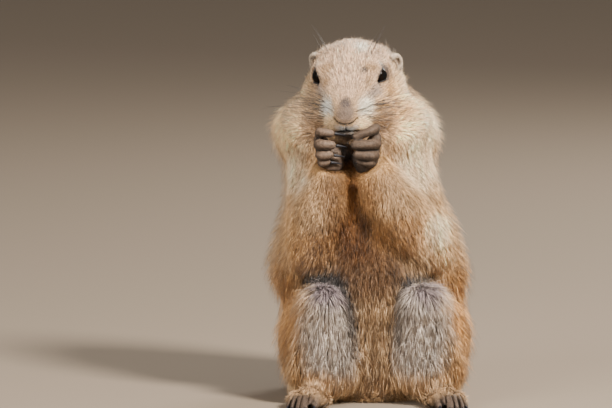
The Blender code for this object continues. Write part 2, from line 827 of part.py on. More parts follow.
def build():
    rest = whole_flesh()
    rest, head = parted(rest, "head", head_region)
    parts = {}
    for side in SIDES:
        rest, whole_arm = parted(rest, "arm", arm_region(side))
        parts["upper_arm_" + side], lower = parted(whole_arm, "forearm", forearm_region(side))
        parts["forearm_" + side] = carved(lower, [wrist_region(side)(GAP)], "DIFFERENCE")
        rest, whole_leg = parted(rest, "leg", leg_region(side))
        parts["thigh_" + side], parts["shin_" + side] = parted(whole_leg, "shin", shin_region(side))
    rest, parts["neck"] = parted(rest, "neck", neck_region)
    parts["torso"] = rest
    for name, piece in parts.items():
        finished(piece, name, "shin" if name.startswith("shin") else "coat")

    head = head_with_face(head)
    head_shell = grown(head, "head_shell")
    for side in SIDES:
        finished(ear(side, head_shell), "ear_" + side, "ear")
        eye = ellipsoid("eye", eye_centre(SIDES[side]), [EYE_RADIUS] * 3, rings=10)
        finished(eye, "eye_" + side, "eye")
    bpy.data.objects.remove(head_shell)
    finished(head, "head", "face")

    for side in SIDES:
        paw, roots = hand(side)
        ahead = (WRIST[side] - ELBOW[side]).normalized()
        paw = carved(paw, [half_space("arm_side", WRIST[side], -ahead, 0.03)], "DIFFERENCE")
        claws_on(paw, "claw_hand_" + side, roots, Vector((0, 0.9, -0.35)), CLAW_LENGTH["hand"], 1.7 * MM, math.radians(34))
        finished(paw, "hand_" + side, "paw")
        sole, roots = foot(side)
        leg_shell = grown(parts["shin_" + side], "leg_shell")
        thigh_shell = grown(parts["thigh_" + side], "thigh_shell")
        torso_shell = grown(parts["torso"], "torso_shell")
        sole = carved(sole, [leg_shell, thigh_shell, torso_shell], "DIFFERENCE")
        claws_on(sole, "claw_foot_" + side, roots, Vector((0, 0, -1)), CLAW_LENGTH["foot"], 1.5 * MM, math.radians(46))
        finished(sole, "foot_" + side, "paw")

    brush = tail()
    torso_shell = grown(parts["torso"], "torso_shell")
    finished(carved(brush, [torso_shell], "DIFFERENCE"), "tail", "tail")

    for thing in MODEL.objects:
        thing.data.transform(Matrix.Translation(PLACE))


clear_scene()
MODEL = collection("prairie_dog")
BENCH = collection("bench")
build()
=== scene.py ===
"""A black-tailed prairie dog at life size, sitting up on its haunches with both hands at its mouth."""

import math
import bmesh
import bpy
import numpy as np
from mathutils import Matrix, Vector
from mathutils.bvhtree import BVHTree
from mathutils.kdtree import KDTree


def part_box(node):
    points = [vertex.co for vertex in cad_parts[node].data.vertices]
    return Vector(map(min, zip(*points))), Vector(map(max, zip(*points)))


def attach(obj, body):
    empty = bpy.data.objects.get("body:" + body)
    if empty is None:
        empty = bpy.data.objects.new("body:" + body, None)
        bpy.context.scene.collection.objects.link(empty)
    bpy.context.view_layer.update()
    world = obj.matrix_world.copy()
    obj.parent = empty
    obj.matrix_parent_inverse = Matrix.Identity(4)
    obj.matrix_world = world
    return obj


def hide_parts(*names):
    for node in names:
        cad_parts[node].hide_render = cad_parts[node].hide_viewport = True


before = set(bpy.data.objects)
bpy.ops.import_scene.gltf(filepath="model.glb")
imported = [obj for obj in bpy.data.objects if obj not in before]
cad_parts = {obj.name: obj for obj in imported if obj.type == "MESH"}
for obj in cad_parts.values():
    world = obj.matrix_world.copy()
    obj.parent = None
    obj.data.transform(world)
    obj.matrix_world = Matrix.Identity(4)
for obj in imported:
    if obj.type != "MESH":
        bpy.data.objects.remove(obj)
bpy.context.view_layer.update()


# The view
# A long lens three metres off, a little above the animal, which stands right of the middle of a
# wide frame. The animal faces the lens.

MM = 0.001
AIM = Vector((-41.6, -30, 125)) * MM
LENS_DISTANCE = 3.3
LENS_RISE = math.radians(6)

lens = bpy.data.cameras.new("lens")
lens.lens = 300
lens.sensor_width = 36
view = bpy.data.objects.new("view", lens)
view.location = AIM + LENS_DISTANCE * Vector((0, -math.cos(LENS_RISE), math.sin(LENS_RISE)))
view.rotation_euler = (math.pi / 2 - LENS_RISE, 0, 0)
bpy.context.scene.collection.objects.link(view)
bpy.context.scene.camera = view


# The hide
# The skin under the coat, one piece from the nose to the rump. It is the flesh melted together and
# drawn in by the depth of the coat, with the eyes' openings, the nostrils, the cleft and the mouth
# pressed into it afterwards.

SIDES = {"left": 1, "right": -1}
FLESH = ["head", "neck", "torso"]
FLESH += [f"{part}_{side}" for part in ("upper_arm", "forearm", "thigh", "shin") for side in SIDES]
HIDE_GRAIN = 1.22 * MM
COAT_DEPTH = {"head": 2.4, "neck": 5.0, "torso": 5.5}
COAT_DEPTH |= {"upper_arm": 4.5, "forearm": 3.6, "thigh": 5.5, "shin": 4.6}
HEAD_TURN = (
    Matrix.Rotation(math.radians(-7), 3, "Z")
    @ Matrix.Rotation(math.radians(24), 3, "X")
    @ Matrix.Rotation(math.radians(-1.7), 3, "Y")
)


def kind_of(node):
    """The node's part of the body, whichever its side."""
    return node.replace("_left", "").replace("_right", "")


def middle(node):
    low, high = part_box(node)
    return (low + high) / 2


EYE = {side: middle("eye_" + side) for side in SIDES}
EYE_RADIUS = (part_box("eye_left")[1].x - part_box("eye_left")[0].x) / 2
BROW = (EYE["left"] + EYE["right"]) / 2


def in_head(side, forward, up):
    """A point in the head's own frame: to its left, ahead of the eyes and above them, in millimetres."""
    return BROW + HEAD_TURN @ Vector((side, -forward, up)) * MM


NOSE_TIP = in_head(0, 42, -15)


def soft(x):
    """A soft step from 0 to 1."""
    x = np.clip(x, 0, 1)
    return x * x * (3 - 2 * x)


def away(points, place):
    return np.linalg.norm(points - np.array(place), axis=1)


def meshed(name, form):
    """A built form as a mesh."""
    mesh = bpy.data.meshes.new(name)
    form.to_mesh(mesh)
    form.free()
    return mesh


def placed(name, mesh):
    """A new piece with the mesh."""
    thing = bpy.data.objects.new(name, mesh)
    bpy.context.scene.collection.objects.link(thing)
    return thing


def melted(name, nodes, grain, grow):
    """The nodes' solids, each swollen a little so that they meet, melted into one skin."""
    whole = bmesh.new()
    for node in nodes:
        form = bmesh.new()
        form.from_mesh(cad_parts[node].data)
        bmesh.ops.remove_doubles(form, verts=form.verts, dist=1e-6)
        bmesh.ops.recalc_face_normals(form, faces=form.faces)
        form.normal_update()
        for vert, place in [(v, v.co + v.normal * grow) for v in form.verts]:
            vert.co = place
        mesh = meshed("piece", form)
        whole.from_mesh(mesh)
        bpy.data.meshes.remove(mesh)
    return remelted(placed(name, meshed(name, whole)), grain)


def remelted(thing, grain):
    step = thing.modifiers.new("melt", "REMESH")
    step.mode = "VOXEL"
    step.voxel_size = grain
    return settled(thing)


def settled(thing):
    """The object with its modifiers applied."""
    bpy.context.view_layer.update()
    graph = bpy.context.evaluated_depsgraph_get()
    mesh = bpy.data.meshes.new_from_object(thing.evaluated_get(graph))
    thing.modifiers.clear()
    thing.data = mesh
    return thing


def points_of(mesh):
    found = np.empty(len(mesh.vertices) * 3, np.float32)
    mesh.vertices.foreach_get("co", found)
    return found.reshape(-1, 3).astype(float)


def normals_of(mesh):
    found = np.empty(len(mesh.vertices) * 3, np.float32)
    mesh.vertex_normals.foreach_get("vector", found)
    return found.reshape(-1, 3).astype(float)


def put_points(mesh, points):
    mesh.vertices.foreach_set("co", points.astype(np.float32).ravel())
    mesh.update()


def evened(mesh, values, times):
    """Values at a mesh's points, each drawn towards those of its neighbours a number of times."""
    edges = np.empty(len(mesh.edges) * 2, np.int32)
    mesh.edges.foreach_get("vertices", edges)
    a, b = edges.reshape(-1, 2).T
    count = len(mesh.vertices)
    shape = values.shape[1:]
    values = values.reshape(count, -1)
    ties = np.bincount(a, minlength=count) + np.bincount(b, minlength=count)
    ties = np.maximum(ties, 1)
    for _ in range(times):
        sums = np.empty_like(values)
        for i in range(values.shape[1]):
            sums[:, i] = np.bincount(a, values[b, i], count) + np.bincount(b, values[a, i], count)
        values = 0.5 * values + 0.5 * sums / ties[:, None]
    return values.reshape((count,) + shape)


class Owners:
    """Says which node's surface lies nearest to a point."""

    def __init__(self, nodes):
        self.nodes = nodes
        points, faces, self.owner = [], [], []
        for i, node in enumerate(nodes):
            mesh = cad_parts[node].data
            start = len(points)
            points += [v.co for v in mesh.vertices]
            faces += [[start + k for k in p.vertices] for p in mesh.polygons]
            self.owner += [i] * len(mesh.polygons)
        self.tree = BVHTree.FromPolygons(points, faces)

    def of(self, points):
        return np.array([self.owner[self.tree.find_nearest(p)[2]] for p in points])


def eye_axes(side):
    """Where the eye looks, along its slit towards the nose, and across the slit."""
    gaze = (HEAD_TURN @ Vector((SIDES[side] * 0.86, -0.42, 0.20))).normalized()
    along = HEAD_TURN @ Vector((0, -1, -0.42))
    along = (along - gaze * along.dot(gaze)).normalized()
    across = gaze.cross(along)
    if across.dot(HEAD_TURN.col[2]) < 0:
        across = -across
    return gaze, along, across


# Each eye's two lids as lines seen from in front: the way across the line, outward and up, and how far
# from the eye's middle it lies, all in shares of the eye's radius. The upper lid's comes first.
LID_LINES = {
    "left": ((-0.915, 0.404, -0.20), (0.326, -0.945, 0.58)),
    "right": ((-0.903, 0.429, -0.36), (0.215, -0.977, 0.70)),
}


def past_lids(ways, side):
    """The angle by which each way out from the eye's middle lies past the lids' margin."""
    found = []
    for outward, up, reach in LID_LINES[side]:
        across = np.array((SIDES[side] * outward, 0, up))
        across /= np.linalg.norm(across)
        found.append(np.arcsin(np.clip(ways @ across, -1, 1)) - math.asin(reach))
    return np.maximum(*found)


def around_eye(points, side):
    """Each point's distance from the eye's middle, and its angle past the lids' margin."""
    arm = points - np.array(EYE[side])
    distance = np.linalg.norm(arm, axis=1)
    return distance, past_lids(arm / distance[:, None], side)


def ripple(cells, seed):
    """Smooth noise from -1 to 1, at places counted in cells."""
    base = np.floor(cells).astype(np.int64)
    part = soft(cells - base)
    total = np.zeros(len(cells))
    for corner in np.ndindex(2, 2, 2):
        i, j, k = (base + corner).T
        mixed = (i * 73856093) ^ (j * 19349663) ^ (k * 83492791) ^ (seed * 374761393)
        mixed = (mixed ^ (mixed >> 13)) * 1274126177 & 0x7FFFFFFF
        share = np.prod(np.where(corner, part, 1 - part), axis=1)
        total += share * (mixed / 0x7FFFFFFF)
    return 2 * total - 1


def line_distance(points, line):
    """Each point's distance from a bent line."""
    best = np.full(len(points), 1.0)
    for a, b in zip(line, line[1:]):
        a, b = np.array(a), np.array(b)
        share = np.clip(((points - a) @ (b - a)) / ((b - a) @ (b - a)), 0, 1)
        best = np.minimum(best, np.linalg.norm(points - a - share[:, None] * (b - a), axis=1))
    return best


def refined(thing, centre, reach, cuts):
    """Cuts the faces near a place finer."""
    form = bmesh.new()
    form.from_mesh(thing.data)
    near = [f for f in form.faces if (f.calc_center_median() - centre).length < reach]
    edges = {edge for face in near for edge in face.edges}
    bmesh.ops.subdivide_edges(form, edges=list(edges), cuts=cuts, use_grid_fill=True)
    form.to_mesh(thing.data)
    form.free()
    return thing


def coat_depth(mesh, points, owners):
    """How deep the skin lies under the coat's outer surface."""
    by_node = np.array([COAT_DEPTH[kind_of(node)] for node in owners.nodes])
    depth = by_node[owners.of(points)] * MM
    depth = evened(mesh, depth, 30)
    nose = away(points, NOSE_TIP)
    depth = np.minimum(depth, (0.3 + np.maximum(nose / MM - 8, 0) * 0.075) * MM)
    for side in SIDES:
        eye = away(points, EYE[side])
        depth = np.minimum(depth, (0.35 + np.maximum(eye / MM - 7.5, 0) * 0.22) * MM)
    return depth


# The fold of the nostrils, the cleft under it and the line of the mouth, in the head's frame.
FOLD = [(-7.7, 33, -12.6), (-4.8, 35.8, -14.0), (-2.4, 37.7, -14.7), (0, 38.4, -14.9)]
FOLD += [(-side, ahead, up) for side, ahead, up in FOLD[-2::-1]]
CLEFT = [(0, 38.4, -15.5), (0, 38, -17.5), (0, 37.2, -20.5)]
MOUTH = [(s, 37 - abs(s) ** 1.7 * 0.23, -21 - abs(s) * 0.16) for s in range(-12, 13, 2)]

flesh_owners = Owners(FLESH)
hide = melted("hide", FLESH + ["eye_left", "eye_right"], HIDE_GRAIN, 0.3 * MM)
put_points(hide.data, evened(hide.data, points_of(hide.data), 6))
shell = points_of(hide.data)
drawn_in = coat_depth(hide.data, shell, flesh_owners) + 0.3 * MM
facing = evened(hide.data, normals_of(hide.data), 4)
put_points(hide.data, shell - facing * drawn_in[:, None])
hide = remelted(hide, HIDE_GRAIN)
hide = refined(hide, in_head(0, 36, -17), 17 * MM, 2)
for side in SIDES:
    hide = refined(hide, EYE[side], 11 * MM, 2)
points = points_of(hide.data)
smooth = evened(hide.data, points, 8)
facing = evened(hide.data, normals_of(hide.data), 3)
for side in SIDES:
    distance, past = around_eye(smooth, side)
    outer = np.maximum(distance, EYE_RADIUS + 0.5 * MM)
    t = soft((past - math.radians(4)) / math.radians(9))
    target = t * outer + (1 - t) * (EYE_RADIUS - 0.9 * MM)
    close = soft((11 * MM - distance) / (3 * MM))
    arm = (smooth - np.array(EYE[side])) / distance[:, None]
    smooth += arm * ((target - distance) * close)[:, None]
face_tree = BVHTree.FromPolygons([Vector(p) for p in smooth], [p.vertices for p in hide.data.polygons])
fold, cleft, mouth = (
    [face_tree.find_nearest(in_head(*p))[0] for p in line]
    for line in (FOLD, CLEFT, MOUTH)
)
# slit: how deeply each point is pressed; it also sets the painted shade in these grooves and keeps tufts out
# of them.
slit = np.zeros(len(smooth))
for line, width, depth in ((fold, 1.25, 2.4), (cleft, 0.8, 1.0), (mouth, 1.6, 2.6)):
    press = soft(1 - line_distance(smooth, line) / (width * MM))
    smooth -= facing * press[:, None] * depth * MM
    slit = np.maximum(slit, press)
put_points(hide.data, smooth)


def shader(name):
    """A new material and its nodes, links and surface shader."""
    made = bpy.data.materials.new(name)
    made.use_nodes = True
    nodes = made.node_tree.nodes
    return made, nodes, made.node_tree.links, nodes["Principled BSDF"]


def speckled(name, scale, spread, roughness, gloss=0.25, sheen=0.0):
    """A finish that takes its colour from the piece's own tones, mottled by a fine noise."""
    made, nodes, links, surface = shader(name)
    tone = nodes.new("ShaderNodeAttribute")
    tone.attribute_name = "tone"
    place = nodes.new("ShaderNodeTexCoord")
    noise = nodes.new("ShaderNodeTexNoise")
    noise.inputs["Scale"].default_value = scale
    noise.inputs["Detail"].default_value = 4
    shade = nodes.new("ShaderNodeMapRange")
    shade.inputs["From Min"].default_value = 0.3
    shade.inputs["From Max"].default_value = 0.7
    shade.inputs["To Min"].default_value = 1 - spread
    shade.inputs["To Max"].default_value = 1 + spread
    mix = nodes.new("ShaderNodeVectorMath")
    mix.operation = "SCALE"
    links.new(place.outputs["Object"], noise.inputs["Vector"])
    links.new(noise.outputs["Fac"], shade.inputs["Value"])
    links.new(tone.outputs["Color"], mix.inputs[0])
    links.new(shade.outputs["Result"], mix.inputs["Scale"])
    links.new(mix.outputs["Vector"], surface.inputs["Base Color"])
    surface.inputs["Roughness"].default_value = roughness
    surface.inputs["Specular IOR Level"].default_value = gloss
    surface.inputs["Sheen Weight"].default_value = sheen
    return made, nodes, links, surface, noise


def pored(made, nodes, links, surface, noise, depth):
    """The same finish with its noise raised as pores."""
    bump = nodes.new("ShaderNodeBump")
    bump.inputs["Strength"].default_value = 0.6
    bump.inputs["Distance"].default_value = depth
    links.new(noise.outputs["Fac"], bump.inputs["Height"])
    links.new(bump.outputs["Normal"], surface.inputs["Normal"])
    return made


def spot(node, x, y, z):
    """A place given as shares of a node's box, from its right, front and lowest side."""
    low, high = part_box(node)
    return Vector((low.x + (high.x - low.x) * x, low.y + (high.y - low.y) * y, low.z + (high.z - low.z) * z))


TAN = (0.52, 0.33, 0.17)
CREAM = (0.92, 0.62, 0.34)
GOLD = (0.61, 0.345, 0.135)
AMBER = (0.44, 0.225, 0.080)
# OCHRE serves only the painted shade under the arms.
OCHRE = (0.13, 0.050, 0.012)
UMBER = (0.175, 0.088, 0.037)
BELLY = (0.42, 0.26, 0.13)
BACK = (0.34, 0.225, 0.13)
ROSE = (0.66, 0.44, 0.285)
WHITE = (0.88, 0.78, 0.64)
# IVORY: pale fur on the shoulders, and painted light where it marks the lit forearm and the ruff's lit edge.
IVORY = (0.95, 0.73, 0.50)
GREY = (0.50, 0.43, 0.38)
DARK = (0.045, 0.036, 0.034)
INK = (0.018, 0.014, 0.013)
MAUVE = (0.195, 0.150, 0.160)
RUST = (0.52, 0.26, 0.085)
SLATE = (0.24, 0.19, 0.17)
RUSSET = (0.38, 0.225, 0.105)
CHESTNUT = (0.32, 0.135, 0.035)
# CHALK serves only the whisker pad away from the key lamp, painted paler than the other as painted light.
CHALK = (0.95, 0.87, 0.76)
NOSE_PAD = (0.20, 0.137, 0.104)
NOSE_TOP = (0.085, 0.062, 0.06)
LIP = (0.52, 0.54, 0.56)

# Each marking: where its middle is and its half sizes, in millimetres, its colour and its strength.
MARKINGS = [
    ((-1, 47, 95), (95, 62, 120), BACK, 1.0),
    ((-10, 16, 178), (45, 30, 40), BACK, 0.9),
    ((-1, -69, 50), (34, 40, 50), BELLY, 1.0),
    # Painted shade: the belly's brown painted darker low between the thighs.
    ((-2, -60, 89), (30, 40, 22), UMBER, 1.0),
    ((-12, -70, 136), (21, 45, 36), AMBER, 0.9),
    ((-24, -78, 138), (8, 20, 24), UMBER, 0.55),
    # Painted shade: the brown under the arms painted near its darkest.
    ((-11, -58, 110), (27, 40, 19), OCHRE, 1.0),
    ((-12, -58, 140), (6, 40, 34), CHESTNUT, 1.0),
    ((18, -75, 112), (22, 30, 15), AMBER, 0.85),
    ((-36, -75, 101), (17, 30, 15), AMBER, 0.85),
    ((-30, -70, 97), (14, 30, 12), UMBER, 0.5),
    ((-52, -55, 174), (17, 35, 22), CREAM, 0.95),
    ((27, -55, 176), (20, 35, 22), CREAM, 0.9),
    # Painted light: an ivory rim along the ruff's edge on the key lamp's side, over its cream fur.
    ((39, -50, 178), (8, 30, 18), IVORY, 0.8),
    ((-47, -62, 151), (14, 28, 18), IVORY, 0.85),
    ((30, -60, 156), (17, 30, 22), IVORY, 0.85),
    ((-34, -75, 155), (12, 30, 9), GOLD, 0.7),
    ((5, -75, 154), (10, 30, 8), GOLD, 0.7),
    # Painted light: a sunlit patch on the forearm on the key lamp's side, cream and ivory over the tan.
    ((42, -70, 112), (15, 28, 20), CREAM, 0.7),
    ((42, -75, 114), (9, 24, 13), IVORY, 1.0),
    ((54, -50, 106), (9, 30, 18), GOLD, 0.6),
    ((-50, -60, 108), (12, 30, 18), GOLD, 0.6),
    ((-57, -60, 122), (8, 30, 16), TAN, 0.6),
    ((-52, -40, 58), (18, 60, 36), RUST, 0.8),
    ((57, -40, 62), (18, 60, 34), RUST, 1.0),
    ((60, -40, 30), (17, 60, 20), AMBER, 0.85),
    ((-55, -40, 28), (17, 60, 20), AMBER, 0.5),
    ((31, -78, 46), (18, 30, 42), GREY, 0.95),
    ((-26, -78, 46), (18, 30, 42), GREY, 0.95),
    ((36, -78, 12), (28, 34, 15), GOLD, 0.75),
    ((-34, -78, 12), (28, 34, 15), GOLD, 0.75),
    ((33, -70, 81.5), (16, 20, 6.2), INK, 0.85),
    ((-32, -69, 81.5), (20, 21, 7.2), INK, 1.0),
    ((-20, -73, 78), (7.5, 16, 8), DARK, 1.0),
    ((-17, -74, 68), (5.5, 18, 10), DARK, 0.9),
    ((-14, -74, 55), (5, 18, 11), DARK, 0.85),
    ((-11.5, -74, 43), (4, 18, 9), DARK, 0.6),
    ((23, -74, 79), (6.5, 16, 8), DARK, 1.0),
    ((21.5, -75, 67), (5.5, 18, 11), DARK, 0.55),
    ((19, -75, 52), (5, 18, 12), DARK, 0.45),
    ((35, -80, 74), (9, 14, 9), MAUVE, 0.9),
    ((-28, -80, 73), (10, 14, 10), MAUVE, 1.0),
    # Painted shade: the chest fur between the hands painted near black.
    ((-15.5, -66, 163), (5.5, 22, 10), DARK, 0.95),
]
# The same on the head, in its own frame.
HEAD_MARKINGS = [
    ((0, -10, 10), (34, 45, 28), ROSE, 1.0),
    ((28, -2, -18), (15, 26, 14), GOLD, 0.9),
    ((-28, -2, -18), (15, 26, 14), TAN, 0.75),
    ((30, -14, -20), (11, 18, 16), CREAM, 0.75),
    ((-32, -12, -17), (11, 18, 16), CREAM, 0.6),
    # The fur's own brown under the jaw, where the muzzle meets the ruff, darkened further as a painted shadow
    # line.
    ((21.5, 20, -25), (9, 13, 11), UMBER, 0.8),
    ((-22, 22, -25), (9, 13, 11), UMBER, 0.75),
    ((0, 22, 0), (6, 14, 8), ROSE, 0.9),
    ((12.5, 25, -10), (6, 9, 8), WHITE, 0.85),
    # Painted light: this whisker pad is painted paler than the other to lift its shade.
    ((-12.5, 25, -9.5), (6, 9, 8), CHALK, 1.0),
    ((10.5, 30, -17), (6, 8, 5), CREAM, 0.9),
    ((-10.5, 31, -16.5), (6, 8, 5), CREAM, 0.9),
    ((16, 14.5, -4.5), (6.5, 7, 4.5), SLATE, 0.8),
    ((-18, 14, -4), (6.5, 7, 4.5), SLATE, 0.7),
    ((13.2, 13, 1.8), (3.4, 5, 5), RUSSET, 0.8),
    ((-13.8, 12, 2.4), (3.6, 5, 5.5), RUSSET, 0.95),
    ((14.4, 5, 8), (6, 5, 4.2), RUSSET, 0.9),
    ((-13.8, 4.5, 8), (6, 5, 4.2), RUSSET, 0.85),
    ((20, -2, 6.5), (2.2, 3, 2), WHITE, 0.8),
    ((-21, -3, 6), (2.2, 4, 2.8), WHITE, 0.7),
    ((0.3, 35, -8), (7.2, 8, 7.2), NOSE_PAD, 0.95),
    ((0.3, 30.5, -3.2), (4, 5, 3.6), NOSE_TOP, 0.95),
    ((10.2, 6.5, 7), (3.2, 5, 2.5), DARK, 1.0),
    ((7, -12, 12), (6, 8, 4), WHITE, 0.8),
    ((0, 34, -18.8), (7.5, 8, 3.4), LIP, 0.95),
    # Painted shade: near black under the mouth and on the chin above the hands.
    ((0, 31, -25.2), (11, 14, 5.2), DARK, 0.95),
]
EYE_RIM = (0.085, 0.065, 0.06)


def marked(tone, reach, colour, strength):
    """Lays one marking over the tones, fading out towards its edge."""
    share = strength * soft((1.2 - reach) / 0.65)
    tone += (np.array(colour) - tone) * share[:, None]


def tone_at(points):
    """The coat's colour at each point."""
    tone = np.tile(np.array(TAN), (len(points), 1))
    inward = np.array(HEAD_TURN.transposed())
    exact = points
    points = points + np.stack([ripple(points / (4 * MM), seed) for seed in (7, 8, 9)], axis=1) * 1.8 * MM
    for place, sizes, colour, strength in MARKINGS:
        marked(tone, np.linalg.norm((points / MM - place) / sizes, axis=1), colour, strength)
    local = (points - np.array(BROW)) @ inward.T / MM
    for (side, forward, up), sizes, colour, strength in HEAD_MARKINGS:
        reach = np.linalg.norm((local - (side, -forward, up)) / np.array(sizes), axis=1)
        marked(tone, reach, colour, strength)
    for side in SIDES:
        distance, past = around_eye(exact, side)
        share = 0.92 * soft((math.radians(22) - past) / math.radians(11)) * (distance < 9 * MM)
        tone += (np.array(EYE_RIM) - tone) * share[:, None]
    return tone


def paint(mesh, name, colours):
    """Keeps a colour at each of a mesh's points."""
    layer = mesh.attributes.new(name, "FLOAT_COLOR", "POINT")
    values = np.ones((len(mesh.vertices), 4), np.float32)
    values[:, :3] = colours
    layer.data.foreach_set("color", values.ravel())


def unwrapped(thing):
    """Lays the surface out flat, island by island, in the map that the coat's tufts share."""
    mesh = thing.data
    mesh.uv_layers.new(name="OFBake")
    bpy.context.view_layer.objects.active = thing
    thing.select_set(True)
    bpy.ops.object.mode_set(mode="EDIT")
    bpy.ops.mesh.select_all(action="SELECT")
    bpy.ops.uv.smart_project(angle_limit=math.radians(66), island_margin=0.002)
    bpy.ops.object.mode_set(mode="OBJECT")
    thing.select_set(False)
    return thing


# The hide is painted darker than the coat, and near black along the pressed fold, cleft and mouth line as
# painted shade in those grooves.
paint(hide.data, "tone", tone_at(points_of(hide.data)) * (0.55 - 0.545 * soft(slit * 4))[:, None])
hide.data.shade_smooth()
unwrapped(hide)
hide.data.materials.clear()
hide.data.materials.append(pored(*speckled("hide", 700, 0.25, 0.7), 0.15 * MM))
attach(hide, "root")
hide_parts(*FLESH)


# The coat
# Short banded fur over a dark underfur, in tufts that are rooted in the hide and lie along it: away
# from the nose on the head, down the body and limbs, and aft over the rump. Neighbours lean together.

FUR_LENGTH = {"head": 5.4, "neck": 14.0, "torso": 14.5}
FUR_LENGTH |= {"upper_arm": 12.0, "forearm": 10.5, "thigh": 14.0, "shin": 12.5}
# No hair stands further out of the hide than this.
HIGHEST_RISE = 10.8 * MM
# Half the width of the map that one tuft takes.
PATCH = 0.0015
PALE_TIP = (0.92, 0.80, 0.62)


def directed(vectors):
    return vectors / np.maximum(np.linalg.norm(vectors, axis=1), 1e-9)[:, None]


class Ground:
    """A skin ready for planting, with the coat's length, rise, lie and density at each of its points."""

    def __init__(self, thing, length, rise, lie, density, tone, shade):
        mesh = thing.data
        mesh.calc_loop_triangles()
        count = len(mesh.loop_triangles)
        corners = np.empty(count * 3, np.int32)
        loops = np.empty(count * 3, np.int32)
        mesh.loop_triangles.foreach_get("vertices", corners)
        mesh.loop_triangles.foreach_get("loops", loops)
        flat = np.empty(len(mesh.loops) * 2, np.float32)
        mesh.uv_layers["OFBake"].data.foreach_get("uv", flat)
        self.corners = corners.reshape(-1, 3)
        self.points = points_of(mesh)
        self.facing = normals_of(mesh)
        self.flat = flat.reshape(-1, 2)[loops.reshape(-1, 3)].astype(float)
        self.length, self.rise, self.lie = length, rise, lie
        # shade: painted shade for the tufts' tones, in creases and on undersides of the small nodes; even on
        # the hide and the tail.
        self.tone, self.shade = tone, shade
        a, b, c = (self.points[self.corners[:, i]] for i in range(3))
        self.middles = (a + b + c) / 3
        self.share = np.linalg.norm(np.cross(b - a, c - a), axis=1) * density[self.corners].mean(axis=1)

    def roots(self, chosen, count, draw):
        """Evenly drawn roots on the chosen triangles, as triangles and shares of their corners."""
        among = np.flatnonzero(chosen)
        upto = np.cumsum(self.share[among])
        steps = (np.arange(count) + draw.random(count)) / count
        found = among[np.searchsorted(upto, steps * upto[-1] * 0.999999)]
        x, y = draw.random(count), draw.random(count)
        over = x + y > 1
        x[over], y[over] = 1 - x[over], 1 - y[over]
        return found, np.stack([1 - x - y, x, y], axis=1)

    def at(self, values, found, shares):
        return np.einsum("ij,ij...->i...", shares, values[self.corners[found]])


def gathered(cells, size, draw):
    """For each root, the root that its clump leans to."""
    heads = np.sort(draw.choice(len(cells), max(1, len(cells) // size), replace=False))
    tree = KDTree(len(heads))
    for i, k in enumerate(heads):
        tree.insert(cells[k], i)
    tree.balance()
    return heads[[tree.find(p)[1] for p in cells]]


def body_cells(points):
    """Cells drawn out down the body, so that noise in them runs in streaks along the fur."""
    return points / (1.5 * MM) * (1, 1, 0.12)


def head_cells(points):
    """Cells drawn out away from the nose."""
    arm = points - np.array(NOSE_TIP) + (0, 6 * MM, 0)
    far = np.linalg.norm(arm, axis=1)[:, None]
    return arm / far * 24 + 40 + (far / (10 * MM)) * (0.577, 0.577, 0.577)


def even_cells(points):
    return points / (1.4 * MM)


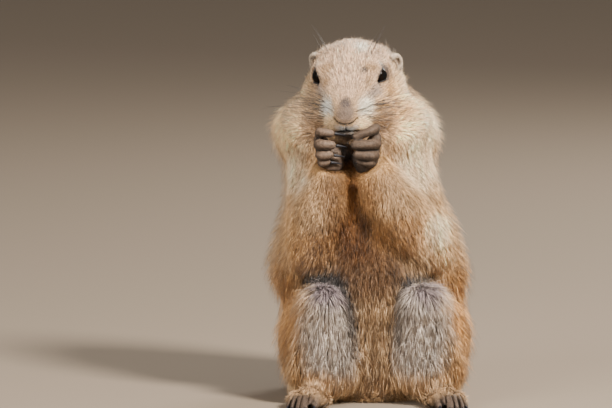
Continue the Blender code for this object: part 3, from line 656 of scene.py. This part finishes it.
def tufts(name, ground, chosen, count, seed, width=1.0, size=14, pull=0.4, bends=1, stand=1.0, reach=1.0,
          dark=0.1, pale=0.12, frost=0.18, stray=7, cells=body_cells, streak=0.26, fade=0.45, patchy=0.1):
    """Closed, flattened, tapering tufts, bent once or twice, with their roots under the skin."""
    draw = np.random.default_rng(seed)
    found, shares = ground.roots(chosen, count, draw)
    root = ground.at(ground.points, found, shares)
    out = directed(ground.at(ground.facing, found, shares))
    lie = ground.at(ground.lie, found, shares)
    flat = np.einsum("ij,ijk->ik", shares, ground.flat[found])
    cell = cells(root)
    streaks = ripple(cell, 3) * 0.65 + ripple(cell * 0.31, 4) * 0.6
    leader = gathered(cell * (1.5, 1.5, 2.6), size, draw)
    turn = np.radians(draw.normal(0, stray, count) + draw.normal(0, stray * 0.8, count)[leader])
    lie = directed(lie - out * np.einsum("ij,ij->i", lie, out)[:, None])
    side = np.cross(lie, out)
    lie = lie * np.cos(turn)[:, None] + side * np.sin(turn)[:, None]
    side = np.cross(lie, out)
    length = ground.at(ground.length, found, shares) * reach * draw.uniform(0.7, 1.2, count)
    length *= draw.uniform(0.88, 1.12, count)[leader]
    rise = ground.at(ground.rise, found, shares) * stand * draw.uniform(0.62, 1.12, count)
    rise *= 1 + 0.26 * streaks
    rise = np.minimum(np.minimum(rise, length * 0.75), HIGHEST_RISE)
    run = np.sqrt(length ** 2 - rise ** 2)
    tip = root + lie * run[:, None] + out * rise[:, None]
    tip += (tip[leader] - tip) * pull * (np.linalg.norm(tip[leader] - tip, axis=1) < length)[:, None]
    tip[:, 2] = np.maximum(tip[:, 2], 0.3 * MM)
    along = tip - root - out * np.einsum("ij,ij->i", tip - root, out)[:, None]
    wide = (0.13 * MM + length * 0.024) * width * draw.uniform(0.7, 1.3, count)
    stations = ((0.4, 0.62, 1.0),) if bends == 1 else ((0.24, 0.48, 1.0), (0.62, 0.88, 0.72))
    rings = [root - out * 0.35 * MM]
    for share, up, full in stations:
        centre = root + along * share + out * (rise * up)[:, None]
        across = side * (wide * full / 2)[:, None]
        thick = out * (wide * full * 0.3)[:, None]
        rings += [centre + across - thick * 0.4, centre - across - thick * 0.4, centre + thick]
    rings.append(tip)
    tone = ground.tone(root + draw.normal(0, 1.1 * MM, (count, 3)) + along * 0.25)
    # The tufts take on the painted shade of the skin they grow from.
    tone = tone * ground.at(ground.shade, found, shares)[:, None]
    patches = draw.normal(0, patchy, count)[leader]
    tone = tone * (1 + streak * streaks + draw.normal(0, 0.1, count) + patches)[:, None]
    end = tone * 1.12
    kind = np.where(draw.random(count) < 0.45, draw.random(count), draw.random(count)[leader])
    end = np.where((kind < dark)[:, None], tone * 0.25, end)
    frost = (frost * np.clip(tone.mean(axis=1) / 0.3, 0.1, 1))[:, None]
    end = np.where((kind > 1 - pale)[:, None], tone * (1.45 - frost) + np.array(PALE_TIP) * frost, end)
    middle_tone = tone * 0.5 + end * 0.45
    tones = [tone * fade] + [middle_tone] * 3 * len(stations) + [end]
    spots = [(0, -1)] + [(-1, 0), (1, 0), (0, 0.3)] * len(stations) + [(0, 1)]
    return solid_tufts(name, rings, tones, flat[:, None] + np.array(spots) * PATCH, len(stations))


def solid_tufts(name, rings, tones, flats, bends):
    """The mesh of tufts whose points, tones and map places are given ring by ring."""
    each = len(rings)
    faces = [(0, 2, 1), (0, 3, 2), (0, 1, 3)]
    sides = ((1, 2), (2, 3), (3, 1))
    for k in range(bends - 1):
        for a, b in sides:
            a, b = a + 3 * k, b + 3 * k
            faces += [(a, b, b + 3), (a, b + 3, a + 3)]
    last = 3 * (bends - 1)
    faces += [(a + last, b + last, each - 1) for a, b in sides]
    count = len(rings[0])
    points = np.stack(rings, axis=1).reshape(-1, 3)
    points[:, 2] = np.maximum(points[:, 2], 0.1 * MM)
    corners = (np.arange(count)[:, None, None] * each + np.array(faces)[None]).reshape(-1)
    mesh = bpy.data.meshes.new(name)
    mesh.vertices.add(len(points))
    mesh.loops.add(len(corners))
    mesh.polygons.add(len(corners) // 3)
    mesh.vertices.foreach_set("co", points.astype(np.float32).ravel())
    mesh.loops.foreach_set("vertex_index", corners.astype(np.int32))
    mesh.polygons.foreach_set("loop_start", np.arange(0, len(corners), 3, dtype=np.int32))
    mesh.polygons.foreach_set("use_smooth", np.ones(len(corners) // 3, bool))
    mesh.update(calc_edges=True)
    paint(mesh, "tone", np.clip(np.stack(tones, axis=1).reshape(-1, 3), 0.005, 0.95))
    layer = mesh.uv_layers.new(name="OFBake")
    layer.data.foreach_set("uv", np.clip(flats.reshape(-1, 2)[corners], 0, 1).astype(np.float32).ravel())
    return placed(name, mesh)


def by_part(table, owners, owner):
    return np.array([table[kind_of(node)] for node in owners.nodes])[owner]


# Each stroke of the comb: where it is strongest, and the way that it draws the fur there.
STROKES = [
    (spot("neck", 0.5, 0.0, 0.2), (0, -0.2, -1)),
    (spot("neck", 0.5, 0.9, 0.4), (0, 0.45, -1)),
    (spot("torso", 0.45, 0.1, 0.8), (0, -0.15, -1)),
    (spot("torso", 0.5, 0.1, 0.35), (0, -0.2, -1)),
    (spot("torso", 0.5, 0.1, 0.0), (0, -0.5, -0.7)),
    (spot("torso", 0.5, 1.0, 0.7), (0, 0.4, -1)),
    (spot("torso", 0.5, 1.0, 0.3), (0, 0.6, -0.8)),
    (spot("torso", 0.5, 1.0, 0.0), (0, 1, -0.35)),
]
PAIRED_STROKES = [
    (("neck", 0.0, 0.3, 0.4), (0.5, 0.15, -1)),
    (("neck", 0.1, 0.0, 0.2), (0.35, -0.2, -1)),
    (("torso", 0.0, 0.6, 0.7), (0.25, 0.3, -1)),
    (("torso", 0.0, 0.6, 0.35), (0.2, 0.35, -1)),
    (("torso", 0.1, 0.9, 0.05), (0.3, 0.6, -0.6)),
    (("thigh", 0.0, 0.5, 0.6), (0.45, -0.25, -0.85)),
    (("thigh", 0.0, 0.4, 0.1), (0.6, -0.3, -0.55)),
    (("shin", 0.1, 0.1, 0.5), (0.35, -0.2, -1)),
    (("shin", 0.5, 0.0, 0.6), (0.02, -0.25, -1)),
    (("shin", 0.95, 0.1, 0.5), (-0.25, -0.15, -1)),
    (("shin", 0.5, 0.0, 0.05), (0.1, -0.6, -0.7)),
    (("upper_arm", 0.1, 0.3, 0.5), (0.35, -0.1, -1)),
    (("forearm", 0.3, 0.0, 0.3), (0.4, 0.1, -1)),
    (("forearm", 0.7, 0.0, 0.8), (0.25, 0.1, -1)),
]
for side, sign in SIDES.items():
    for (part, x, y, z), (out, back, up) in PAIRED_STROKES:
        node = part if part in ("neck", "torso") else f"{part}_{side}"
        STROKES.append((spot(node, 1 - x if sign > 0 else x, y, z), (sign * out, back, up)))


def combed(points, owner):
    """The way that the fur lies at each point."""
    total = np.zeros((len(points), 3))
    for place, way in STROKES:
        total += np.exp(-(away(points, place) / (26 * MM)) ** 2)[:, None] * directed(np.array([way]))
    total = directed(total)
    head = owner == FLESH.index("head")
    total[head] = directed(points[head] - np.array(NOSE_TIP) + np.array([0, 6 * MM, 0]))
    return total


skin_points = points_of(hide.data)
owner = flesh_owners.of(skin_points)
lie = evened(hide.data, combed(skin_points, owner), 14)
length = evened(hide.data, by_part(FUR_LENGTH, flesh_owners, owner) * MM, 40)
nose = away(skin_points, NOSE_TIP) / MM
length = np.minimum(length, (0.9 + np.maximum(nose - 6, 0) * 0.11) * MM)
density = evened(hide.data, np.where(owner == 0, 3.0, 1.0), 10) * (1 + 1.5 * soft((40 - nose) / 25))
for side in SIDES:
    distance, past = around_eye(skin_points, side)
    length = np.minimum(length, (1.3 + np.maximum(distance / MM - 7, 0) * 0.28) * MM)
    density = np.where((past < math.radians(10)) & (distance < EYE_RADIUS + 1.6 * MM), 0, density)
density = np.where(slit > 0.12, 0, density)
pad = away(skin_points, in_head(0, 36, -8)) / MM
length = np.minimum(length, (0.8 + np.maximum(pad - 7, 0) * 0.13) * MM)
rise = coat_depth(hide.data, skin_points, flesh_owners)
rise = np.minimum(rise * 1.05 + 0.15 * MM, length * 0.6)
for side in SIDES:
    beside_ear = soft(1.6 - away(skin_points, middle("ear_" + side)) / (11 * MM))
    length = length + beside_ear * 4.0 * MM
    rise = rise + beside_ear * 2.0 * MM
pelt = Ground(hide, length, rise, lie, density, tone_at, np.ones(len(skin_points)))
tuft_owner = owner[pelt.corners[:, 0]]
ahead = pelt.middles[:, 1] < middle("torso").y - 14 * MM


def grows_on(*parts):
    wanted = [i for i, node in enumerate(FLESH) if kind_of(node) in parts]
    return np.isin(tuft_owner, wanted)


fur = speckled("fur", 900, 0.15, 0.6, 0.22, 0.15)[0]
face_side = away(pelt.middles, NOSE_TIP) < 44 * MM
COAT = [
    ("coat_face", grows_on("head") & face_side, 31000,
     dict(size=9, pull=0.25, dark=0.2, pale=0.15, cells=head_cells, streak=0.22, patchy=0.2)),
    ("coat_crown", grows_on("head") & ~face_side, 25000,
     dict(size=10, pull=0.32, dark=0.22, pale=0.2, cells=head_cells, streak=0.26, patchy=0.2)),
    ("coat_neck", grows_on("neck"), 25000, dict(size=12, pull=0.32, pale=0.16)),
    ("coat_chest", grows_on("torso") & ahead, 24000, dict(size=12, pull=0.36, pale=0.06)),
    ("coat_back", grows_on("torso") & ~ahead, 24000, dict(size=14, pull=0.42, width=1.15, dark=0.22)),
    ("coat_arms", grows_on("upper_arm", "forearm"), 29000,
     dict(size=9, pull=0.28, pale=0.12, patchy=0.07)),
    ("coat_thighs", grows_on("thigh"), 20000, dict(size=14, pull=0.45, width=1.1, dark=0.12)),
    ("coat_shins", grows_on("shin"), 21000,
     dict(size=12, pull=0.4, dark=0.14, pale=0.14, frost=0.4, streak=0.32)),
]
for i, (name, chosen, count, manner) in enumerate(COAT):
    piece = tufts(name, pelt, chosen, count, 20 + i, **manner)
    piece.data.materials.append(fur)
    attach(piece, "root")


# The guard hairs
# Longer, thinner hairs that stand out of the coat and soften its outline, dark at the tip on the back
# and the flanks and pale on the throat, the arms and the belly.

GUARD_HAIRS = [
    ("guard_head", grows_on("head") & ~face_side, 2200,
     dict(cells=head_cells, dark=0.5, stand=1.5, reach=1.35)),
    ("guard_neck", grows_on("neck"), 3600, dict(dark=0.3, pale=0.3, stand=2.3, reach=1.35)),
    ("guard_body", grows_on("torso"), 7500, dict(dark=0.7, stand=2.3, reach=1.35)),
    ("guard_limbs", grows_on("upper_arm", "forearm", "thigh", "shin"), 6500,
     dict(dark=0.4, pale=0.2, stand=1.9, reach=1.35)),
]
for i, (name, chosen, count, manner) in enumerate(GUARD_HAIRS):
    piece = tufts(name, pelt, chosen, count, 40 + i, width=0.42, size=5, pull=0.1, stray=14, fade=0.8,
                  **manner)
    piece.data.materials.append(fur)
    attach(piece, "root")


# The eyes
# Almost black, set deep in the head, with a brown ring that shows only close to. Each is one polished
# ball with the clear front a little raised.

PUPIL = (0.003, 0.003, 0.003)
IRIS = (0.005, 0.003, 0.002)
EYE_EDGE = (0.004, 0.003, 0.003)


def smoothed(name, form):
    """A built form as a smooth piece."""
    mesh = meshed(name, form)
    mesh.shade_smooth()
    return placed(name, mesh)


def ball(name, centre, radius, gaze):
    """A round ball whose front, towards the gaze, bulges a little."""
    form = bmesh.new()
    bmesh.ops.create_uvsphere(form, u_segments=40, v_segments=28, radius=radius)
    turn = Vector((0, 0, 1)).rotation_difference(gaze).to_matrix()
    for vert in form.verts:
        front = max(0.0, vert.co.z / radius - 0.55) / 0.45
        vert.co *= 1 + 0.035 * front * front
        vert.co = turn @ vert.co + centre
    return smoothed(name, form)


def ramped(nodes, first, last, *between):
    """A run of colours, each given with its place along it."""
    ramp = nodes.new("ShaderNodeValToRGB")
    stops = ramp.color_ramp.elements
    for k, (position, colour) in enumerate((first, last)):
        stops[k].position = position
        stops[k].color = (*colour, 1)
    for position, colour in between:
        stops.new(position).color = (*colour, 1)
    return ramp


def eye_finish(side):
    """Black at the middle, a dark brown ring round it, and black again where the lids hide it."""
    made, nodes, links, surface = shader("eye_" + side)
    place = nodes.new("ShaderNodeTexCoord")
    apart = nodes.new("ShaderNodeVectorMath")
    apart.operation = "DISTANCE"
    apart.inputs[1].default_value = EYE[side] + eye_axes(side)[0] * EYE_RADIUS * 1.03
    ring = nodes.new("ShaderNodeMapRange")
    ring.inputs["From Min"].default_value = 0
    ring.inputs["From Max"].default_value = EYE_RADIUS * 1.2
    ramp = ramped(nodes, (0.30, PUPIL), (0.80, EYE_EDGE), (0.5, IRIS))
    links.new(place.outputs["Object"], apart.inputs[0])
    links.new(apart.outputs["Value"], ring.inputs["Value"])
    links.new(ring.outputs["Result"], ramp.inputs["Fac"])
    links.new(ramp.outputs["Color"], surface.inputs["Base Color"])
    surface.inputs["Roughness"].default_value = 0.1
    surface.inputs["Specular IOR Level"].default_value = 0.06
    return made


for side in SIDES:
    eye = ball("eyeball_" + side, EYE[side], EYE_RADIUS, eye_axes(side)[0])
    eye.data.materials.append(eye_finish(side))
    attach(eye, "root")
    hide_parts("eye_" + side)


# The lids' margins
# A thin bare rim round each eye, of one dark tone, that lies on the ball and turns under
# the skin of the lid.

LID_THICK = 0.42 * MM
LID_TONE = (0.012, 0.010, 0.011)


def ringed(form, centre, first, second, radius, around):
    """A ring of points about a centre, that starts in the first way and turns to the second."""
    turns = [2 * math.pi * k / around for k in range(around)]
    return [form.verts.new(centre + (first * math.cos(t) + second * math.sin(t)) * radius) for t in turns]


def banded(form, loops):
    """Faces from each ring of points to the next."""
    for a, b in zip(loops, loops[1:]):
        for k in range(len(a)):
            form.faces.new((a[k], a[(k + 1) % len(a)], b[(k + 1) % len(a)], b[k]))


def rim(name, middles, ways, radius, around=8):
    """A closed ring of round section through the middles."""
    form = bmesh.new()
    count = len(middles)
    loops = []
    for i, (middle_point, way) in enumerate(zip(middles, ways)):
        ahead_point, behind = middles[(i + 1) % count], middles[i - 1]
        along = (ahead_point - behind).normalized()
        up = (way - along * way.dot(along)).normalized()
        across = along.cross(up)
        loops.append(ringed(form, middle_point, up, across, radius, around))
    banded(form, loops + loops[:1])
    bmesh.ops.recalc_face_normals(form, faces=form.faces)
    return smoothed(name, form)


def margin(side, turn):
    """The way out from the eye's middle to the lids' margin, in the direction of a turn about its gaze."""
    gaze, along, across = eye_axes(side)
    aside = along * math.cos(turn) + across * math.sin(turn)
    low, high = 0, math.radians(130)
    for _ in range(24):
        angle = (low + high) / 2
        way = gaze * math.cos(angle) + aside * math.sin(angle)
        if past_lids(np.array([way]), side)[0] > math.radians(7):
            high = angle
        else:
            low = angle
    return way


for side in SIDES:
    ways = [margin(side, 2 * math.pi * i / 96) for i in range(96)]
    middles = [EYE[side] + way * (EYE_RADIUS + 0.25 * MM) for way in ways]
    lid = rim("lid_" + side, middles, ways, LID_THICK)
    paint(lid.data, "tone", np.tile(LID_TONE, (len(lid.data.vertices), 1)))
    lid.data.materials.append(pored(*speckled("lid", 1500, 0.3, 0.5, 0.3), 0.1 * MM))
    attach(lid, "root")


# The ears
# Low round cups of thin skin over gristle, set in the fur behind the eyes and grown from the sides of
# the head. They are thinly furred, with a pale edge and a dusky hollow.

EAR_GRAIN = 0.4 * MM
EAR_EDGE = (0.58, 0.46, 0.35)
EAR_FUR = 2.6 * MM
# How much longer the fur is, and how much further it stands, where a foot comes out of the shin.
INSTEP_FUR = 7
INSTEP_RISE = 1.6


def hollows(mesh, points):
    """From 0 on open skin to 1 deep between two folds."""
    sunk = np.einsum("ij,ij->i", evened(mesh, points, 34) - points, normals_of(mesh))
    return soft(sunk / (0.3 * MM))


def instep(points):
    """From 0 on the toes to 1 where a foot comes out of the shin's fur."""
    return soft((points[:, 1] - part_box("foot_left")[0].y - 15 * MM) / (16 * MM))


def small_ground(node, grain, tone, length, rise, lie, shape=None):
    """One small node's skin, melted smooth, unwrapped and painted, with painted shade in its creases and on
    its undersides, and ready for short fur.
    """
    thing = melted(node + "_skin", [node], grain, 0.02 * MM)
    points = evened(thing.data, points_of(thing.data), 3)
    put_points(thing.data, points)
    if shape:
        points = shape(points, normals_of(thing.data))
        put_points(thing.data, points)
    # Painted shade: darker in the creases between folds and on the sides that face down.
    deep = hollows(thing.data, points)
    shade = (1 - 0.8 * deep) * (0.4 + 0.6 * soft(0.6 + 0.8 * normals_of(thing.data)[:, 2]))
    paint(thing.data, "tone", tone(points) * (0.7 * shade)[:, None])
    thing.data.shade_smooth()
    unwrapped(thing)
    ways = evened(thing.data, lie(points), 6)
    longer = instep(points) if shape else 0
    length = np.full(len(points), length) + longer * INSTEP_FUR * MM
    rise = np.full(len(points), rise) + longer * INSTEP_RISE * MM
    return thing, Ground(thing, length, rise, ways, 1 - 0.6 * deep, tone, shade)


def ear_tone(side):
    """Cream at the edge and on the back, dusky in the hollow."""
    centre, spread = middle("ear_" + side), (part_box("ear_" + side)[1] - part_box("ear_" + side)[0]) / 2

    def tone(points):
        edge = np.linalg.norm((points - np.array(centre)) / np.array(spread), axis=1)
        hollow = soft((0.95 - edge) / 0.5)[:, None]
        return np.array(EAR_EDGE) * (1 - hollow) + np.array(ROSE) * 0.6 * hollow

    return tone


for i, side in enumerate(SIDES):
    outward = HEAD_TURN @ Vector((SIDES[side] * 0.4, 0.45, 0.8))
    skin, cup = small_ground("ear_" + side, EAR_GRAIN, ear_tone(side), EAR_FUR, 0.6 * MM,
                             lambda points, way=outward: np.tile(np.array(way), (len(points), 1)))
    skin.data.materials.append(pored(*speckled("ear_skin", 1500, 0.2, 0.6), 0.1 * MM))
    coat = tufts("coat_ear_" + side, cup, np.ones(len(cup.corners), bool), 2500, 60 + i, width=0.7,
                 size=6, pull=0.2, dark=0.05, pale=0.3, cells=even_cells)
    coat.data.materials.append(fur)
    for piece in (skin, coat):
        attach(piece, "root")
    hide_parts("ear_" + side)


# The hands
# Four fingers bent over towards the mouth, in dusky thin skin with very short fur along each finger,
# with painted shade darkening the creases between them and the fingers' undersides.

PAW_GRAIN = 0.5 * MM
HAND_TONE = (0.135, 0.088, 0.060)
PALM_TONE = (0.050, 0.033, 0.025)


def hand_tone(points):
    """Paler over the knuckles and darker towards the palm."""
    back = soft((points[:, 1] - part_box("hand_left")[0].y - 4 * MM) / (14 * MM))[:, None]
    left = soft((points[:, 0] - NOSE_TIP.x) / (4 * MM) + 0.5)[:, None]
    return (np.array(HAND_TONE) * (1 - back) + np.array(PALM_TONE) * back) * (1.15 - 0.4 * left)


def hand_lie(side):
    """Up over the back of the hand, then in along the fingers."""
    node, inward = "hand_" + side, -SIDES[side]
    outer = 1.0 if SIDES[side] > 0 else 0.0
    strokes = [
        (spot(node, outer, 0.5, 0.0), (0, 0, 1)),
        (spot(node, outer, 0.3, 0.6), (inward * 0.3, -0.8, 0.4)),
        (spot(node, 0.5, 0.0, 0.6), (inward, -0.1, 0)),
        (spot(node, 1 - outer, 0.3, 0.6), (inward, 0.3, 0)),
    ]

    def lie(points):
        total = np.zeros((len(points), 3))
        for place, way in strokes:
            total += np.exp(-(away(points, place) / (8 * MM)) ** 2)[:, None] * directed(np.array([way]))
        return directed(total)

    return lie


for i, side in enumerate(SIDES):
    skin, back = small_ground("hand_" + side, PAW_GRAIN, hand_tone, 1.2 * MM, 0.18 * MM, hand_lie(side))
    skin.data.materials.append(pored(*speckled("hand_skin", 520, 0.45, 0.65), 0.35 * MM))
    coat = tufts("coat_hand_" + side, back, np.ones(len(back.corners), bool), 4000, 70 + i, width=0.8, size=6,
                 pull=0.2, dark=0.2, pale=0.2, cells=even_cells, fade=0.7, patchy=0.22)
    coat.data.materials.append(fur)
    for piece in (skin, coat):
        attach(piece, "root")
    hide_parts("hand_" + side)


# The feet
# Long flat soles with five toes, dusky brown, under short fur that lies forward along each toe, with a
# crease between each toe and the next.

FOOT_TONE = (0.40, 0.25, 0.13)
TOE_TONE = (0.085, 0.056, 0.040)


def foot_tone(points):
    front = soft((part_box("foot_left")[0].y + 24 * MM - points[:, 1]) / (16 * MM))[:, None]
    # Painted shade: darker towards the floor, within about three millimetres of it.
    low = soft((3.2 * MM - points[:, 2]) / (2.4 * MM))[:, None]
    tone = np.array(FOOT_TONE) * (1 - front) + np.array(TOE_TONE) * front
    return tone * (1 - 0.55 * low)


def toe_creases(side):
    """Presses a crease between each toe and the next, fading out over the instep."""
    claws = [f"claw_foot_{side}_{k}" for k in range(1, 6)]
    roots = sorted((middle(claw).x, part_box(claw)[1].y) for claw in claws)

    def shape(points, facing):
        points = points.copy()
        for (x1, y1), (x2, y2) in zip(roots, roots[1:]):
            x, y = (x1 + x2) / 2, (y1 + y2) / 2
            aside = (x - middle("foot_" + side).x) * 0.3
            back = np.clip((points[:, 1] - y) / (17 * MM), -0.3, 1)
            gap = np.abs(points[:, 0] - x + aside * back) / (1.25 * MM)
            press = soft(1 - gap) * soft((1 - back) * 1.6) * soft(points[:, 2] / (3 * MM))
            points -= facing * press[:, None] * 2.4 * MM
        return points

    return shape


for i, (side, sign) in enumerate(SIDES.items()):
    skin, top = small_ground("foot_" + side, PAW_GRAIN, foot_tone, 1.7 * MM, 0.25 * MM,
                             lambda points, aside=sign * 0.2: np.tile((aside, -1.0, -0.05), (len(points), 1)),
                             toe_creases(side))
    skin.data.materials.append(pored(*speckled("foot_skin", 520, 0.4, 0.65), 0.3 * MM))
    above = top.middles[:, 2] > 1.2 * MM
    coat = tufts("coat_foot_" + side, top, above, 4000, 80 + i, width=0.9, size=6, pull=0.25, dark=0.15,
                 pale=0.15, cells=even_cells, fade=0.6, patchy=0.2)
    coat.data.materials.append(fur)
    for piece in (skin, coat):
        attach(piece, "root")
    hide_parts("foot_" + side)


# The claws
# Dark curved horn, mottled from nearly black to a little clearer by a fine noise that is also
# raised as a fine grain.

HORN_ROOT = (0.005, 0.005, 0.007)
HORN_POINT = (0.022, 0.022, 0.028)


def horn():
    made, nodes, links, surface = shader("claw_horn")
    place = nodes.new("ShaderNodeTexCoord")
    noise = nodes.new("ShaderNodeTexNoise")
    noise.inputs["Scale"].default_value = 900
    ramp = ramped(nodes, (0.3, HORN_ROOT), (0.75, HORN_POINT))
    links.new(place.outputs["Object"], noise.inputs["Vector"])
    links.new(noise.outputs["Fac"], ramp.inputs["Fac"])
    links.new(ramp.outputs["Color"], surface.inputs["Base Color"])
    surface.inputs["Roughness"].default_value = 0.42
    surface.inputs["Specular IOR Level"].default_value = 0.14
    return pored(made, nodes, links, surface, noise, 0.06 * MM)


claw_horn = horn()
for name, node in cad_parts.items():
    if name.startswith("claw_"):
        node.data.materials.clear()
        node.data.materials.append(claw_horn)
        node.modifiers.new("weld", "WELD").merge_threshold = 0.01 * MM
        step = node.modifiers.new("smooth", "SUBSURF")
        step.levels = step.render_levels = 2


# The tail
# A slim tail laid on the floor, bent a little to the animal's right, with a flat brush of long hair that
# turns black over its last third.

TAIL_ROOT = Vector((2.6, 30, 13)) * MM
TAIL_REACH = 66 * MM
TAIL_ASIDE = 10 * MM
TAIL_DROP = 8.6 * MM
TAIL_TIP = (0.035, 0.028, 0.025)


def tail_line(t):
    aside = -TAIL_ASIDE * math.sin(t * math.pi * 0.55)
    return TAIL_ROOT + Vector((aside, TAIL_REACH * t, -TAIL_DROP * min(1, t * 1.5)))


def tube(name, line, radii, around):
    """A closed round tube along a line, drawn to the radius given at each point."""
    form = bmesh.new()
    loops = []
    for i, (centre, radius) in enumerate(zip(line, radii)):
        along = (line[min(i + 1, len(line) - 1)] - line[max(i - 1, 0)]).normalized()
        across = (along.orthogonal() if i == 0 else across - along * across.dot(along)).normalized()
        up = along.cross(across)
        loops.append(ringed(form, centre, across, up, radius, around))
    banded(form, loops)
    form.faces.new(loops[0][::-1])
    form.faces.new(loops[-1])
    bmesh.ops.recalc_face_normals(form, faces=form.faces)
    return smoothed(name, form)


def tail_share(points):
    return np.clip((points[:, 1] - TAIL_ROOT.y) / TAIL_REACH, 0, 1)


def tail_tone(points):
    """The rump's brown at the root, rust along the middle and black over the last third."""
    share = tail_share(points)
    black = soft((share - 0.5) / 0.2)[:, None]
    rust = soft(share / 0.3)[:, None]
    tone = np.array(BACK) * (1 - rust) + np.array(RUST) * rust
    return tone * (1 - black) + np.array(TAIL_TIP) * black


tail_steps = [i / 30 for i in range(31)]
tail = tube("tail_skin", [tail_line(t * 0.86) for t in tail_steps],
            [(6.5 - 4.6 * t ** 0.7) * 0.62 * MM for t in tail_steps], 16)
tail_points = points_of(tail.data)
paint(tail.data, "tone", tail_tone(tail_points) * 0.5)
unwrapped(tail)
share = tail_share(tail_points)
tail_way = directed(np.array([tail_line(min(1, t + 0.02)) - tail_line(t) for t in share]))
tail_ground = Ground(tail, (13 + 8 * share) * MM, (4.4 - 2.0 * share) * MM, tail_way,
                     np.ones(len(share)), tail_tone, np.ones(len(share)))
brush = tufts("coat_tail", tail_ground, np.ones(len(tail_ground.corners), bool), 5000, 90, size=18,
              pull=0.4, bends=2, dark=0.2, pale=0.05)
tail.data.materials.append(pored(*speckled("tail_skin", 900, 0.2, 0.7), 0.1 * MM))
brush.data.materials.append(fur)
for piece in (tail, brush):
    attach(piece, "root")
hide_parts("tail")


# The whiskers
# Stiff dark hairs in rows on the whisker pads, with a few over each eye and on each cheek. They sweep
# out and back and droop a little, thinning to nothing at the tips.

WHISKER_THICK = 0.19 * MM
WHISKER_TONE = (0.03, 0.026, 0.025)
LONGEST_WHISKER = 33
# The power by which a shorter row's hairs are thinner.
THINNING = 5
# Each row: where its middle is, how far its roots spread, how many there are, their way out, the rise
# from the lowest to the highest, and the longest one's length.
WHISKERS = [
    ((8, 26, -13), (2, 6, 6), 24, (1.0, -0.45), (-0.35, 0.42), LONGEST_WHISKER),
    ((13, -8, 9), (3, 3, 1.0), 4, (0.5, -0.5), (0.9, 1.1), 31),
    ((21, 8, -15), (1.5, 2, 2.0), 3, (0.9, -0.5), (-0.25, 0.1), 30),
]

whisker_draw = np.random.default_rng(5)
pelt_tree = BVHTree.FromObject(hide, bpy.context.evaluated_depsgraph_get())
pieces = []
for side, sign in SIDES.items():
    for start, spread, count, (out, back), (lowest, highest), longest in WHISKERS:
        for i in range(count):
            jitter = whisker_draw.uniform(-1, 1, 3) * np.array(spread)
            inside = in_head(sign * (start[0] + jitter[0]), start[1] + jitter[1], start[2] + jitter[2])
            lift = lowest + (highest - lowest) * (i + whisker_draw.uniform(0, 1)) / count
            way = (HEAD_TURN @ Vector((sign * out, -back, lift))).normalized()
            root = pelt_tree.ray_cast(inside + way * 30 * MM, -way)[0] or inside
            long = longest * whisker_draw.uniform(0.6, 1.0) * MM
            droop = Vector((0, 0.10, -0.16)) * long * whisker_draw.uniform(0.5, 1.5)
            line = [root + way * long * t + droop * t * t for t in (-0.03, 0.12, 0.3, 0.5, 0.7, 0.86, 1)]
            thick = WHISKER_THICK * (longest / LONGEST_WHISKER) ** THINNING
            radii = [thick * (1 - 0.85 * k / 6) for k in range(7)]
            pieces.append(tube("whisker", line, radii, 5))
whiskers = bmesh.new()
for piece in pieces:
    whiskers.from_mesh(piece.data)
    bpy.data.objects.remove(piece)
whisker_piece = smoothed("whiskers", whiskers)
paint(whisker_piece.data, "tone", np.tile(WHISKER_TONE, (len(whisker_piece.data.vertices), 1)))
whisker_piece.data.materials.append(speckled("whisker", 600, 0.3, 0.4, 0.4)[0])
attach(whisker_piece, "root")


# The floor and the light
# A plain pale floor, a broad warm lamp high on the right, a wide soft one on the left, a weak one
# behind, and an even pale surround.

FLOOR_HALF = 6.0
FLOOR_TONE = (0.19, 0.148, 0.108)
SURROUND_TONE = (0.66, 0.60, 0.53)

floor = bmesh.new()
bmesh.ops.create_grid(floor, x_segments=24, y_segments=24, size=FLOOR_HALF)
ground_plane = placed("floor", meshed("floor", floor))
floor_finish, *_, surface = shader("floor")
surface.inputs["Base Color"].default_value = (*FLOOR_TONE, 1)
surface.inputs["Roughness"].default_value = 0.9
ground_plane.data.materials.append(floor_finish)


def lamp(name, place, aim, size, power, colour):
    light = bpy.data.lights.new(name, "AREA")
    light.shape = "DISK"
    light.size = size
    light.energy = power
    light.color = colour
    thing = bpy.data.objects.new(name, light)
    thing.location = place
    thing.rotation_euler = (Vector(aim) - Vector(place)).to_track_quat("-Z", "Y").to_euler()
    bpy.context.scene.collection.objects.link(thing)


CHEST_HEIGHT = (0, 0, 0.12)
lamp("key", (1.05, -1.35, 1.35), CHEST_HEIGHT, 0.45, 165, (1.0, 0.93, 0.83))
lamp("fill", (-1.6, -1.7, 0.9), CHEST_HEIGHT, 1.6, 66, (1.0, 0.97, 0.92))
lamp("back", (0.9, 1.5, 1.2), CHEST_HEIGHT, 0.8, 30, (1.0, 0.96, 0.9))
world = bpy.data.worlds.new("surround")
world.use_nodes = True
world.node_tree.nodes["Background"].inputs["Color"].default_value = (*SURROUND_TONE, 1)
world.node_tree.nodes["Background"].inputs["Strength"].default_value = 0.58
bpy.context.scene.world = world
